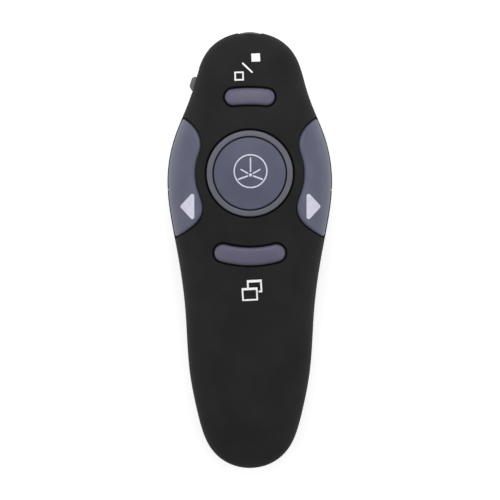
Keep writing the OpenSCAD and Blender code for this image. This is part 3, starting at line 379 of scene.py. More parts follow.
def linear(hex_colour):
    """An sRGB hex colour as the linear colour that shaders use."""
    parts = [int(hex_colour[i:i + 2], 16) / 255 for i in (1, 3, 5)]
    return [p / 12.92 if p <= 0.04045 else ((p + 0.055) / 1.055) ** 2.4 for p in parts] + [1.0]


def add(tree, kind, links=(), **settings):
    """Adds one shader node: settings by name, input values by socket name, then its links."""
    node = tree.nodes.new(kind)
    for key, value in settings.items():
        if hasattr(node, key):
            setattr(node, key, value)
        else:
            node.inputs[key.replace("_", " ")].default_value = value
    for socket, source in dict(links).items():
        tree.links.new(source, node.inputs[socket])
    return node


def finish(name, dark, light, drift, roughness, bump=(0.0004, 0.00001, 0.2), **values):
    """A finish that drifts between two close tones, with a fine pitted bump.

    The drift is the distance from tone to tone, and the bump is its spacing, height and strength, with lengths in
    metres. Further values are set on the shader by name.
    """
    made = bpy.data.materials.new(name)
    made.use_nodes = True
    tree = made.node_tree
    shader = tree.nodes["Principled BSDF"]
    for key, value in {"Roughness": roughness, **values}.items():
        shader.inputs[key.replace("_", " ")].default_value = value
    place = add(tree, "ShaderNodeTexCoord").outputs["Object"]
    noise = add(tree, "ShaderNodeTexNoise", {"Vector": place}, Scale=1 / drift, Detail=3.0, Roughness=0.55)
    tones = add(tree, "ShaderNodeValToRGB", {"Fac": noise.outputs["Fac"]})
    for stop, position, tone in zip(tones.color_ramp.elements, (0.35, 0.65), (dark, light)):
        stop.position, stop.color = position, linear(tone)
    tree.links.new(tones.outputs["Color"], shader.inputs["Base Color"])
    spacing, height, strength = bump
    pits = add(tree, "ShaderNodeTexNoise", {"Vector": place}, Scale=1 / spacing, Detail=2.0)
    relief = add(tree, "ShaderNodeBump", {"Height": pits.outputs["Fac"]}, Strength=strength, Distance=height)
    tree.links.new(relief.outputs["Normal"], shader.inputs["Normal"])
    return made


# Soft-touch polyurethane lacquer on black ABS: a velvety dark grey that scatters nearly all it reflects.
# Its grain is about 0.1 mm on the real thing and is drawn at 0.35 mm, so that it shows.
soft_touch = finish("soft_touch_black", "#202020", "#252525", 0.009, 0.72, (0.00035, 0.00002, 0.35),
                    IOR=1.45, Specular_IOR_Level=0.14)
smooth(top_cover)
keep(top_cover, "case", "case", soft_touch, "top_cover")


# ==== Printing on the upper cover ====
# White pad-printed signs above the blank-screen key and below the window key: a blank and a lit screen with
# a stroke between them, and two windows, one over the other. The ink stands a few hundredths of a mm proud.
INK = 0.03


def laid_on(plan, height, lift=INK):
    """An outline laid over a surface of the given height, a little above or below it."""
    return at_height(plan, height(*plan.T) + lift)


def ink_pad(name, outline, height):
    """A patch of ink with a star-shaped outline."""
    middle = outline.mean(axis=0)
    loops = [laid_on(outline, height, -INK), laid_on(outline, height)]
    loops += [laid_on(middle + (outline - middle) * share, height) for share in (0.8, 0.6, 0.4, 0.2, 0.0)]
    return loft(name, loops)


def ink_line(name, outer, inner, height):
    """A closed line of ink between two outlines with as many points."""
    loops = [laid_on(outer, height, -INK), laid_on(outer, height),
             laid_on(inner, height), laid_on(inner, height, -INK)]
    return loft(name, loops, closed=True)


def frame_plan(x0, y0, x1, y1, steps=8):
    """The outline of a rectangle with points along its sides."""
    t = np.linspace(0, 1, steps, endpoint=False)
    corners = np.array([(x0, y0), (x1, y0), (x1, y1), (x0, y1)], float)
    return np.vstack([a + (b - a) * t[:, None] for a, b in zip(corners, np.roll(corners, -1, axis=0))])


def bar_plan(start, end, width, steps=8):
    """The outline of a straight stroke of ink with round ends."""
    start, end = np.array(start, float), np.array(end, float)
    ahead = (end - start) / np.linalg.norm(end - start)
    aside = np.array([-ahead[1], ahead[0]])
    t = np.linspace(0, 1, steps)[:, None]
    turn = np.linspace(0, np.pi, 9)[1:-1, None]
    cap = lambda centre, sign: centre + sign * width / 2 * (np.cos(turn) * aside * -1 + np.sin(turn) * ahead)
    return np.vstack([start - aside * width / 2 + (end - start) * t, cap(end, 1),
                      end + aside * width / 2 + (start - end) * t, cap(start, -1)])


def tilted(plan, centre, degrees):
    """An outline turned anticlockwise about a place."""
    c, s = math.cos(math.radians(degrees)), math.sin(math.radians(degrees))
    return (plan - centre) @ np.array([[c, s], [-s, c]]) + centre


# White epoxy pad-printing ink: dense and matt, a touch uneven where the pad lifted.
white_ink = finish("white_pad_print", "#efefef", "#ffffff", 0.0008, 0.5, (0.0003, 0.00001, 0.2))

# The signs are printed a few degrees askew
BLANK_SCREEN_TILT = {"centre": (-2.9, 46.2), "degrees": 2}
FRONT_WINDOW_TILT = {"centre": (0, -11.7), "degrees": 3}
BACK_WINDOW_TILT = {"centre": (1.2, -9.6), "degrees": 3}
case_signs = [
    ink_pad("lit_screen_sign", tilted(frame_plan(0.44, 50.02, 2.74, 52.18), (1.6, 51.1), 2), roof),
    ink_pad("screen_stroke_sign", bar_plan((-1.85, 49.52), (0.58, 47.22), 0.46), roof),
    ink_line("blank_screen_sign", tilted(frame_plan(-4.08, 44.95, -1.58, 47.35), **BLANK_SCREEN_TILT),
             tilted(frame_plan(-3.67, 45.36, -1.99, 46.94), **BLANK_SCREEN_TILT), roof),
    ink_line("front_window_sign", tilted(frame_plan(-2.08, -13.44, 2.12, -10.02), **FRONT_WINDOW_TILT),
             tilted(frame_plan(-1.66, -13.02, 1.7, -10.64), **FRONT_WINDOW_TILT), roof)]
for part, *sides in (("top", -0.72, -8.6, 3.25, -7.92), ("right", 2.8, -11.3, 3.25, -8.58),
                     ("left", -0.72, -10.0, -0.26, -8.58), ("foot", 2.28, -11.3, 2.82, -10.86)):
    case_signs.append(ink_pad(f"back_window_{part}_sign", tilted(frame_plan(*sides), **BACK_WINDOW_TILT), roof))
for sign in case_signs:
    smooth(sign)
    keep(sign, "case", "case", white_ink)


# ==== Lower front cover and battery tray ====
# The front of the lower half, from the nose to a curved parting line, in the same lacquered ABS.
# The tray that holds the cells is moulded with it and reaches back under the board as a deck with ribs.
COVER_GAP = 0.15
front_form = {"edge_r": COVER_EDGE_R + COVER_GAP, "ahead": 1}
front_cover = shell("lower_front_cover", half_skin(False, 90, 101, **front_form),
                    half_skin(False, 90, 101, inset=WALL, **front_form))
cut(front_cover, nose_bore(**WINDOW_BORE))
cut(front_cover, slider_slot())
# The heads of the nose screws lie at the top of two wells
WELL_R, WELL_TOP = 2.1, 8.5
SCREW_WELLS = [(side * 6.2, 49.2) for side in (-1, 1)]
for well in SCREW_WELLS:
    cut(front_cover, loft("cutter", [at_height(ring_plan(well, WELL_R, 48), z) for z in (-1.0, WELL_TOP)]))
smooth(front_cover)
keep(front_cover, "case", "case", soft_touch, "bottom_cover")


def block(name, low, high):
    """A cube primitive added at its size and place, from two corners in millimetres."""
    low, high = np.array(low, float), np.array(high, float)
    bpy.ops.object.select_all(action="DESELECT")
    bpy.ops.mesh.primitive_cube_add(size=MM, location=(low + high) / 2 * MM, scale=high - low)
    piece = bpy.context.object
    piece.name = piece.data.name = name
    bpy.ops.object.transform_apply(location=True, rotation=True, scale=True)
    return piece


def rod(name, place, radius, low, high, steps=40):
    """An upright cylinder primitive added at its size and place."""
    bpy.ops.object.select_all(action="DESELECT")
    bpy.ops.mesh.primitive_cylinder_add(vertices=steps, radius=radius * MM, depth=(high - low) * MM,
                                        location=(place[0] * MM, place[1] * MM, (low + high) / 2 * MM))
    piece = bpy.context.object
    piece.name = piece.data.name = name
    bpy.ops.object.transform_apply(location=True, rotation=True, scale=True)
    return piece


def moulding(name, boxes, posts=(), edge=0.15):
    """Ribs, walls and posts that are moulded in one, with their edges softened."""
    whole = block(name, *boxes[0])
    for low, high in boxes[1:]:
        cut(whole, block("rib", low, high), "UNION")
    for place, radius, low, high in posts:
        cut(whole, rod("post", place, radius, low, high), "UNION")
    shape(whole, bpy.ops.mesh.dissolve_limited, angle_limit=math.radians(1))
    if edge:
        modified(whole, "BEVEL", width=edge * MM, segments=2, limit_method="ANGLE", angle_limit=math.radians(40))
    return whole


DECK_LOW, DECK_TOP = 13.2, 14.2
# Walls and posts that hang from the deck run a little into it
HUNG = DECK_LOW + 0.1
BAY_IN, BAY_OUT, BAY_FRONT, BAY_REAR = 11.0, 12.0, 20.2, -28.8
FRONT_WALL, DIVIDER = 1.4, 1.2
RAIL_LOW = 7.6
POCKET_OUT, POCKET_LOW, POCKET_END = 7.2, 8.55, -50.6
ROOT_DEPTH = 0.8
REAR_SCREWS = [(side * 10.1, -33.5) for side in (-1, 1)]
BOARD_SCREWS = [(side * 10.0, 30.0) for side in (-1, 1)]
REAR_POST_LOW = 9.5
POST_R, NOSE_POST_R = 2.1, 2.7
CASE_PILOT_R, BOARD_PILOT_R = 1.15, 1.05
LASER_BORE = {"radius": 3.05, "start": 45.0, "end": 53.0}


def both(low, high):
    """A box right of the middle and its mirror image on the left."""
    return [(low, high), ((-high[0], low[1], low[2]), (-low[0], high[1], high[2]))]


tray = moulding("battery_tray", [
    # The deck over the cells and over the receiver
    ((-BAY_OUT, -36.0, DECK_LOW), (BAY_OUT, BAY_FRONT + FRONT_WALL, DECK_TOP)),
    ((-POCKET_OUT, -50.4, DECK_LOW), (POCKET_OUT, -35.9, DECK_TOP)),
    # The bay's front wall and its foot
    ((-BAY_OUT, BAY_FRONT, 4.25), (BAY_OUT, BAY_FRONT + FRONT_WALL, HUNG)),
    ((-8.0, BAY_FRONT, 1.0), (8.0, BAY_FRONT + FRONT_WALL, 4.35)),
    # Its side walls, with the rails that the battery cover rides on
    *both((BAY_IN, BAY_REAR - DIVIDER, RAIL_LOW), (BAY_OUT, BAY_FRONT + 0.1, HUNG)),
    *both((BAY_IN + 0.1, BAY_REAR - DIVIDER, RAIL_LOW), (BAY_OUT + 1.2, BAY_FRONT - 1.5, RAIL_LOW + 1)),
    # The divider behind the cells
    ((-BAY_OUT, BAY_REAR - DIVIDER, RAIL_LOW), (BAY_OUT, BAY_REAR, HUNG)),
    ((-8.0, BAY_REAR - DIVIDER, 4.25), (8.0, BAY_REAR, RAIL_LOW + 0.1)),
    # The receiver's pocket
    *both((7.0, -37.8, 7.5), (8.0, BAY_REAR - 1.1, HUNG)),
    *both((POCKET_OUT - 1, -49.8, POCKET_LOW), (POCKET_OUT, -37.7, HUNG)),
    ((-POCKET_OUT, POCKET_END, POCKET_LOW), (POCKET_OUT, POCKET_END + 1, HUNG)),
], [(place, POST_R, REAR_POST_LOW, HUNG) for place in REAR_SCREWS], 0.12)
# The posts and cradles at the nose are rooted in the wall and follow the curve of its inside
nose_ribs = moulding("nose_ribs", [((-4.4, y, 2.0), (4.4, y + 1.2, SEAM_Z)) for y in (46.4, 50.2)],
                     [*((place, POST_R, 2.0, DECK_TOP) for place in BOARD_SCREWS),
                      *((place, NOSE_POST_R, 2.0, SEAM_Z) for place in SCREW_WELLS)], 0)
rooted = half_skin(False, 60, 61, inset=ROOT_DEPTH)[6:-6]
brims = [brim * (1, 1, 0) + (0, 0, DECK_TOP + 2) for brim in (rooted[:, :1], rooted[:, -1:])]
cut(nose_ribs, loft("cutter", np.concatenate([brims[0], rooted, brims[1]], axis=1)), "INTERSECT")
cut(nose_ribs, nose_bore(**LASER_BORE))
cut(tray, nose_ribs, "UNION")
for place, radius, low, high in [*((place, CASE_PILOT_R, 8.0, 16.0) for place in REAR_SCREWS),
                                 *((place, BOARD_PILOT_R, DECK_TOP - 6, 16.0) for place in BOARD_SCREWS),
                                 *((place, CASE_PILOT_R, 2.0, 16.0) for place in SCREW_WELLS),
                                 *((place, WELL_R, 1.0, WELL_TOP) for place in SCREW_WELLS)]:
    cut(tray, rod("cutter", place, radius, low, high))
smooth(tray, 30)
# Bare black ABS, moulded with a fine spark-eroded texture: matt inside the case, where it isn't lacquered
bare_abs = finish("moulded_black_abs", "#1b1b1b", "#222222", 0.004, 0.5, (0.0004, 0.00002, 0.3), IOR=1.53)
keep(tray, "case", "case", bare_abs, "bottom_cover")


# ==== Battery cover ====
# The whole rear of the lower half, in the same lacquered ABS. It rides on the tray's rails by two ledges,
# pulls off towards the tail, and has six curved thumb grooves across its flat.
rear_form = {"gap": COVER_GAP, "edge_r": COVER_EDGE_R, "ahead": -1}
battery_cover = shell("battery_cover_shell", half_skin(False, 110, 101, **rear_form),
                      half_skin(False, 110, 101, inset=WALL, **rear_form))


def strip_plan(y, length, width, bend, steps=24):
    """A plain-ended strip bent to an arc."""
    a = np.linspace(-1, 1, steps) * math.asin(length / 2 / bend)
    arc = lambda r: np.column_stack([r * np.sin(a), r * np.cos(a) - bend + y])
    return np.vstack([arc(bend + width / 2), arc(bend - width / 2)[::-1]])


# Each groove is shorter than the last. Its form is how far it widens at each height: curled over at the skin and
# rounded in at the floor
GROOVES, GROOVE_PITCH, GROOVE_W, GROOVE_BEND = 6, 2.0, 0.9, 30.0
GROOVE_FORM = [(0.3, -1.0), (0.3, -0.02), (0.06, 0.1), (0.0, 0.25), (-0.12, 0.4), (-0.25, 0.45)]
for k in range(GROOVES):
    groove_y, length = 12 - GROOVE_PITCH * k, 12 - 0.8 * k
    groove = [at_height(strip_plan(groove_y, length + 2 * grow, GROOVE_W + 2 * grow, GROOVE_BEND), z)
              for grow, z in GROOVE_FORM]
    cut(battery_cover, loft("cutter", groove))
# The ledges over the rails, and two ribs under the cells, grow out of the wall
along = np.linspace(-57.9, 57.9, 200)
inside = np.column_stack([half_width(along) - ROOT_DEPTH, along])
inside = np.vstack([inside, (inside * (-1, 1))[::-1]])
for low, high in both((BAY_OUT + 0.4, BAY_REAR - DIVIDER, RAIL_LOW + 1.1),
                      (22.0, COVER_EDGE_Y - 5, RAIL_LOW + 2.1)):
    ledge = moulding("ledge", [(low, high)], edge=0.1)
    cut(ledge, loft("cutter", [at_height(inside, z) for z in (0.0, 20.0)]), "INTERSECT")
    cut(battery_cover, ledge, "UNION")
for low, high in both((5.05, -22.0, ROOT_DEPTH), (6.05, COVER_EDGE_Y - 4, 2.3)):
    cut(battery_cover, moulding("rib", [(low, high)], edge=0.1), "UNION")
smooth(battery_cover)
keep(battery_cover, "battery_cover", "case", soft_touch, "battery_cover")


# ==== Wing keys ====
# The two page keys: grey ABS mouldings that carry on the hull's own surface beside the round key, with a
# rounded inner edge. Each rocks on two pegs near the nose and presses a switch near its arrow.
WING_T = 2.0
SKIRT = 0.5
INNER_ROUND, OUTER_ROUND = 0.8, 0.35
DRAW_IN, DRAW_BAND = 0.55, 3.5


def fall(distance, radius):
    """How far a rounded edge has dropped at a distance from the rim."""
    inside = np.clip(radius - distance, 0.0, radius)
    return radius - np.sqrt(radius**2 - inside**2)


def nearest(points, line):
    """Distance of each point from a line of points."""
    flat = points.reshape(-1, 3)
    best = np.full(len(flat), 1e9)
    for a, b in zip(line[:-1], line[1:]):
        ab = b - a
        t = np.clip(((flat - a) @ ab) / max(ab @ ab, 1e-12), 0, 1)
        best = np.minimum(best, np.linalg.norm(flat - a - t[:, None] * ab, axis=1))
    return best.reshape(points.shape[:-1])


def wing(name, mirrored):
    """A wing key: rows of points over the hull's skin from its inner edge to its skirt, and its underside."""
    edge = wing_line(0, 2000)
    inner_x = lambda y: np.interp(y, edge[:, 1], -edge[:, 0])
    skirt_x = lambda y: half_width(y) * (1 - (SKIRT / rise(y)) ** TOP_SQUARENESS) ** (1 / TOP_SQUARENESS)
    # The rows run as far along as the inner edge lies inside the skirt
    scan = np.linspace(2.4, 37.5, 4000)
    inside = scan[inner_x(scan) < skirt_x(scan)]
    first, last = inside[0], inside[-1]
    share = (1 - np.cos(np.linspace(0, np.pi, 150))) / 2
    y = (first + (last - first) * share)[:, None]
    n = TOP_SQUARENESS
    a_in = np.arccos(np.clip(inner_x(y) / half_width(y), 0, 1) ** (n / 2))
    a_out = np.arcsin(np.clip(SKIRT / rise(y), 0, 1) ** (n / 2))
    s = ((1 - np.cos(np.linspace(0, np.pi, 52))) / 2)[None, :]
    angle = a_in + (a_out - a_in) * s
    top = skin(angle, y + 0 * s)
    step = 1e-4
    across = skin(angle + step, y + 0 * s) - skin(angle - step, y + 0 * s)
    along = skin(angle, y + step + 0 * s) - skin(angle, y - step + 0 * s)
    normal = np.cross(across, along)
    normal /= np.linalg.norm(normal, axis=2)[..., None]
    normal *= np.sign(normal[..., 2:3] + 1e-9)
    # The inner edge is well rounded; the outer one draws in, so that the lower cover stands out below it
    outer = nearest(top, top[:, -1])
    lowered = fall(nearest(top, top[:, 0]), INNER_ROUND) + fall(outer, OUTER_ROUND)
    lowered += DRAW_IN * np.clip(1 - outer / DRAW_BAND, 0, 1) ** 2
    under = top - normal * WING_T
    top = top - normal * np.minimum(lowered, WING_T * 0.6)[..., None]
    loops = np.concatenate([top, under[:, ::-1]], axis=1)
    if not mirrored:
        loops = loops * np.array([-1, 1, 1])
    piece = loft(name, loops)
    smooth(piece, 40)
    return piece


# Satin grey ABS, coloured in the mass: a cool blue-grey with a soft highlight. Its moulded grain is about 0.1 mm
# on the real thing and is drawn at 0.35 mm, so that it shows.
SATIN = {"drift": 0.006, "roughness": 0.45, "bump": (0.00035, 0.000012, 0.25),
         "IOR": 1.5, "Specular_IOR_Level": 0.35}
wing_grey = finish("satin_grey_wing_abs", "#595b6f", "#5f6175", **SATIN)
for name, mirrored in (("previous_key", False), ("next_key", True)):
    keep(wing(name + "_wing", mirrored), name, "wing_key", wing_grey, name)

# Each arrow is printed in a pale blue-white ink
pale_ink = finish("pale_pad_print", "#d2d2e6", "#dedeee", 0.0012, 0.5, (0.0003, 0.00001, 0.2))


def rounded_plan(corners, radius, steps=8):
    """A polygon with rounded corners, wound anticlockwise, with points along its sides."""
    corners = np.array(corners, float)
    points = []
    for before, here, after in zip(np.roll(corners, 1, 0), corners, np.roll(corners, -1, 0)):
        a, b = (before - here) / np.linalg.norm(before - here), (after - here) / np.linalg.norm(after - here)
        half = math.acos(np.clip(a @ b, -1, 1)) / 2
        centre = here + (a + b) / np.linalg.norm(a + b) * radius / math.sin(half)
        start, end = here + a * radius / math.tan(half), here + b * radius / math.tan(half)
        t0, t1 = math.atan2(*(start - centre)[::-1]), math.atan2(*(end - centre)[::-1])
        t1 += 2 * np.pi * round((t0 - t1) / (2 * np.pi))
        turn = np.linspace(t0, t1, steps)
        points.append(centre + radius * np.column_stack([np.cos(turn), np.sin(turn)]))
    sides = []
    for here, after in zip(points, points[1:] + points[:1]):
        t = np.linspace(0, 1, 10)[1:-1, None]
        sides += [here, here[-1] + (after[0] - here[-1]) * t]
    return np.vstack(sides)


arrow = rounded_plan([(-18.6, 11.55), (-14.72, 7.35), (-14.72, 15.75)], 0.55)
mirrored_arrow = (arrow * (-1, 1) + (0.35, 0))[::-1]
for name, plan in (("previous_key", arrow), ("next_key", mirrored_arrow)):
    sign = ink_pad(name.replace("key", "arrow_sign"), plan, roof)
    smooth(sign)
    keep(sign, name, "wing_key", pale_ink)


# ==== Round laser key and its ring ====
# The ring is a fixed grey ABS bezel and the key a domed disc inside it, pressed straight down.
# Both are turned forms with softly rounded edges, parted by a thin dark gap.
RING_W = 1.5
RING_PROUD = 0.45
RING_TOP = SEAM_Z + float(rise(LASER_KEY_Y)) + RING_PROUD
RING_FOOT = 21.0
DOME_R = 60.0


def turned(name, profile, place, steps=144, hollow=False):
    """A turned form: a circle extruded and resized up a profile of (radius, height) pairs.

    A hollow one starts as an open circle, and its profile comes back to where it began.
    """
    (radius, height), centre = profile[0], np.array([*place, 0.0]) * MM
    bpy.ops.object.select_all(action="DESELECT")
    bpy.ops.mesh.primitive_circle_add(vertices=steps, radius=radius * MM, location=centre + (0, 0, height * MM),
                                      fill_type="NOTHING" if hollow else "NGON")
    piece = bpy.context.object
    piece.name = piece.data.name = name
    bpy.ops.object.transform_apply(location=True, rotation=True, scale=True)
    bpy.ops.object.mode_set(mode="EDIT")
    bpy.ops.mesh.select_mode(type="VERT")
    bpy.ops.mesh.select_all(action="SELECT")
    for (r0, z0), (r1, z1) in zip(profile, profile[1:] + profile[:1] if hollow else profile[1:]):
        bpy.ops.mesh.extrude_region_move(TRANSFORM_OT_translate={"value": (0, 0, (z1 - z0) * MM)})
        bpy.ops.transform.resize(value=(r1 / r0, r1 / r0, 1), center_override=centre)
    bpy.ops.object.mode_set(mode="OBJECT")
    shape(piece, bpy.ops.mesh.remove_doubles, threshold=2e-6)
    shape(piece, bpy.ops.mesh.normals_make_consistent, inside=False)
    return piece


def dome(r, top):
    """Height of the shallow dome that the ring and the key share, at a distance from its middle."""
    return top - DOME_R + math.sqrt(DOME_R**2 - r**2)


def rounded_rim(r, top, radius, outward=True, steps=7):
    """Profile points round a rim of the dome, from its crown side to its wall."""
    sign = 1 if outward else -1
    points = []
    for turn in np.linspace(math.pi / 2, 0, steps):
        here = r - sign * radius * (1 - math.cos(turn))
        points.append((here, dome(r - sign * radius, top) - radius * (1 - math.sin(turn))))
    return points


ring_profile = [
    (RING_R - RING_W, RING_FOOT), (RING_R, RING_FOOT),
    *rounded_rim(RING_R, RING_TOP, 0.45)[::-1],
    (RING_R - RING_W / 2, dome(RING_R - RING_W / 2, RING_TOP) + 0.02),
    *rounded_rim(RING_R - RING_W, RING_TOP, 0.25, outward=False)]
bezel = turned("laser_key_bezel", ring_profile, (0, LASER_KEY_Y), hollow=True)
smooth(bezel, 40)
# The ring comes from a tool of its own and is a touch more neutral than the keys
bezel_grey = finish("satin_grey_bezel_abs", "#5e5f6a", "#64656f", **SATIN)
keep(bezel, "case", "ring", bezel_grey, "key_ring")

DISC_R = RING_R - RING_W - 0.3
DISC_TOP = RING_TOP - 0.4
disc_profile = [(DISC_R, RING_FOOT + 1.5), *rounded_rim(DISC_R, DISC_TOP, 0.4)[::-1]]
disc_profile += [(r, dome(r, DISC_TOP)) for r in np.linspace(DISC_R - 0.6, 0.6, 14)]
disc = turned("laser_key_disc", disc_profile, (0, LASER_KEY_Y))
smooth(disc, 40)
disc_grey = finish("satin_grey_disc_abs", "#525568", "#585b6e", **SATIN)
keep(disc, "laser_key", "round_key", disc_grey, "laser_key")


def disc_height(x, y):
    """Height of the round key's face over a place in plan."""
    return DISC_TOP - DOME_R + np.sqrt(DOME_R**2 - x**2 - (y - LASER_KEY_Y) ** 2)


# A beam sign in pale ink: a spot with short rays and one long ray towards the nose, in a thin round line
SPOT = np.array([0.2, 19.9])
SIGN_CENTRE = (0.2, 20.9)
# The direction of each ray in degrees, where it starts and ends from the spot, and its width
BEAM_RAYS = [(90, 0.95, 4.5, 0.36), (150, 0.85, 2.9, 0.36), (30, 0.85, 2.9, 0.36),
             (200, 0.85, 3.3, 0.42), (340, 0.85, 3.3, 0.42)]
key_signs = [
    ink_pad("beam_spot_sign", ring_plan(SPOT, 0.42, 32), disc_height),
    ink_line("beam_outline_sign", ring_plan(SIGN_CENTRE, 4.5, 96), ring_plan(SIGN_CENTRE, 4.16, 96), disc_height)]
for i, (degrees, near, far, width) in enumerate(BEAM_RAYS):
    way = np.array([math.cos(math.radians(degrees)), math.sin(math.radians(degrees))])
    ray = bar_plan(SPOT + way * near, SPOT + way * far, width)
    key_signs.append(ink_pad(f"beam_ray_sign_{i}", ray, disc_height))
for sign in key_signs:
    smooth(sign)
    keep(sign, "laser_key", "round_key", pale_ink)


# ==== Blank-screen key and window key ====
# Two pillow-topped capsule keys in the same grey ABS, bent to follow the round key between them.
# They stand a little proud of the cover and press straight down.
KEY_PROUD = 0.7
KEY_FOOT = 19.6
PILLOW_R = 0.9


def capsule_key(name, centre_y, key, across_r, along_r):
    """A capsule key whose face is crowned by one radius across its width and another along its length."""
    tilt = math.atan(float(roof(0, centre_y + 0.5) - roof(0, centre_y - 0.5)))
    top = float(roof(0, centre_y)) + KEY_PROUD
    axis_y, axis_z = centre_y + across_r * math.sin(tilt), top - across_r * math.cos(tilt)

    def face(x, y):
        crown = across_r - along_r + np.sqrt(along_r**2 - x**2)
        return axis_z + np.sqrt(crown**2 - (y - axis_y) ** 2)

    loops = [at_height(grown_capsule(centre_y, key, 0), KEY_FOOT)]
    for inset in (0.0, 0.03, 0.09, 0.18, 0.3, 0.45, 0.62, 0.85, 1.15, 1.5, 1.85, key["width"] / 2 - 0.01):
        here = grown_capsule(centre_y, key, -inset)
        loops.append(at_height(here, face(*here.T) - fall(inset, PILLOW_R)))
    piece = loft(name, loops)
    smooth(piece, 40)
    return piece


# The same satin ABS, a little more mauve
capsule_grey = finish("satin_grey_capsule_abs", "#5a586c", "#605e72", **SATIN)
for name, *form in (("blank_key", BLANK_KEY_Y, BLANK_KEY, 7.0, 30.0),
                    ("window_key", WINDOW_KEY_Y, WINDOW_KEY, 8.0, 38.0)):
    keep(capsule_key(name + "_cap", *form), name, "capsule_key", capsule_grey, name)


# ==== Power slider ====
# A grey nylon thumb grip, moulded as a low bump with soft edges. It runs along the left side in a slot on the
# seam, and two prongs behind it hold the lever of the switch under the board.
SLIDER_PROUD, SLIDER_IN = 1.1, 3.8
PRONG_START, PRONG_H = 2.6, 0.6
LEVER_HALF, PRONG_SIDE = 0.75, 1.6
NEAR = 0.01
grip = block("power_slider_grip", (-SLIDER_PROUD, -SLIDER_HALF, -SLIDER_H / 2),
             (SLIDER_IN, SLIDER_HALF, SLIDER_H / 2))


def at(piece, test):
    """Which vertices pass a test of their place in millimetres."""
    return [test(*(vertex.co / MM)) for vertex in piece.data.vertices]


# The two upright outer edges are rounded off to a bump, the one at the nose end more gently
for end, reach, fullness in ((-1, 1.15, 0.3), (1, 0.95, 0.45)):
    corner = at(grip, lambda x, y, z: x < NEAR - SLIDER_PROUD and end * y > SLIDER_HALF - NEAR)
    shape(grip, bpy.ops.mesh.bevel, corner, offset=reach * MM, segments=5, profile=fullness, affect="EDGES")
# The prongs rise from its inner end, and the lever's slot parts them
shape(grip, bpy.ops.mesh.bisect, plane_co=(PRONG_START * MM, 0, 0), plane_no=(1, 0, 0))
for y in (-PRONG_SIDE, -LEVER_HALF, LEVER_HALF, PRONG_SIDE):
    shape(grip, bpy.ops.mesh.bisect, plane_co=(0, y * MM, 0), plane_no=(0, 1, 0))
for side in (-1, 1):
    prong = at(grip, lambda x, y, z: x > PRONG_START - NEAR and abs(z - SLIDER_H / 2) < NEAR
               and LEVER_HALF - NEAR < side * y < PRONG_SIDE + NEAR)
    shape(grip, bpy.ops.mesh.extrude_region_move, prong, TRANSFORM_OT_translate={"value": (0, 0, PRONG_H * MM)})
cut(grip, block("cutter", (PRONG_START, -LEVER_HALF, SLIDER_H / 2 - 0.25), (SLIDER_IN + 1, LEVER_HALF, SLIDER_H)))
modified(grip, "BEVEL", width=0.3 * MM, segments=4, limit_method="ANGLE", angle_limit=math.radians(50))
shape(grip, bpy.ops.transform.rotate, value=-wall_lean, orient_axis="Z", center_override=(0, 0, 0))
shape(grip, bpy.ops.transform.translate, value=(-float(half_width(SLIDER_Y)) * MM, SLIDER_Y * MM, SEAM_Z * MM))
# Glass-filled nylon, moulded and unpainted: lighter than the keys, neutral, with a dull shine
nylon = finish("moulded_grey_nylon", "#616161", "#6b6b6b", 0.002, 0.45, (0.0003, 0.00001, 0.3), IOR=1.53)
smooth(grip)
keep(grip, "power_slider", "slider", nylon, "power_slider")


# ==== Screws ====
# Self-tapping pan-head screws of zinc-plated steel, cold headed and thread rolled, with a cross recess.
# Four close the case from below, two of them in the wells at the nose, and two hold the board from above.
HEAD_H = 1.4
THREAD_PITCH = 0.8
RECESS_HALF, SLOT_HALF = 1.05, 0.22


def pan_head(name, reach):
    """One screw, head down, its head's seat at the height HEAD_H."""
    profile = [(0.5, 0.0), (0.95, 0.08), (1.35, 0.26), (1.65, 0.5), (1.83, 0.78),
               (1.9, 1.05), (1.9, HEAD_H - 0.08), (1.84, HEAD_H), (0.85, HEAD_H)]
    # Rolled threads, then a short point
    for z in np.arange(HEAD_H + 0.3, HEAD_H + reach - 0.9, THREAD_PITCH):
        profile += [(0.82, z), (1.0, z + 0.3), (1.0, z + 0.38), (0.82, z + 0.68)]
    profile += [(0.8, HEAD_H + reach - 0.3), (0.45, HEAD_H + reach)]
    piece = turned(name, profile, (0, 0), 32)
    for across, along in ((RECESS_HALF, SLOT_HALF), (SLOT_HALF, RECESS_HALF)):
        cut(piece, block("cutter", (-across, -along, -0.5), (across, along, 0.75)))
    modified(piece, "BEVEL", width=0.05 * MM, segments=2, limit_method="ANGLE", angle_limit=math.radians(60))
    smooth(piece, 40)
    return piece


def copies(master, name, places):
    """Copies of a piece with their own meshes, moved to their places; the first piece is used up."""
    for i, place in enumerate(places):
        only(master)
        bpy.ops.object.duplicate(linked=False)
        piece = bpy.context.object
        piece.name = piece.data.name = f"{name}_{i}"
        shape(piece, bpy.ops.transform.translate, value=tuple(np.array(place) * MM))
        yield piece
    bpy.data.objects.remove(master)


# Bright zinc plate over steel: a cool silver, dull in the recess
zinc = finish("zinc_plated_steel", "#9fa3a8", "#b3b6ba", 0.0015, 0.35, (0.0005, 0.000008, 0.3), Metallic=1.0)
for name, reach, low, places in (("nose_screw", 8.0, WELL_TOP - HEAD_H, SCREW_WELLS),
                                 ("rear_screw", 7.0, REAR_POST_LOW - HEAD_H, REAR_SCREWS)):
    for piece in copies(pan_head(name + "_form", reach), name, [(*place, low) for place in places]):
        keep(piece, "case", "screw_steel", zinc, "case_screws")


# ==== Pieces inside ====
# The window, board, switches, cells, contacts and stowed receiver keep their CAD forms.
# Each gets the finish of its real counterpart.
# Smoked acrylic, moulded with a satin face: nearly black, with the laser's red in its depth
smoked = finish("smoked_red_acrylic", "#170a0c", "#1c0c0f", 0.004, 0.38, (0.002, 0.000004, 0.1),
                IOR=1.49, Specular_IOR_Level=0.06)
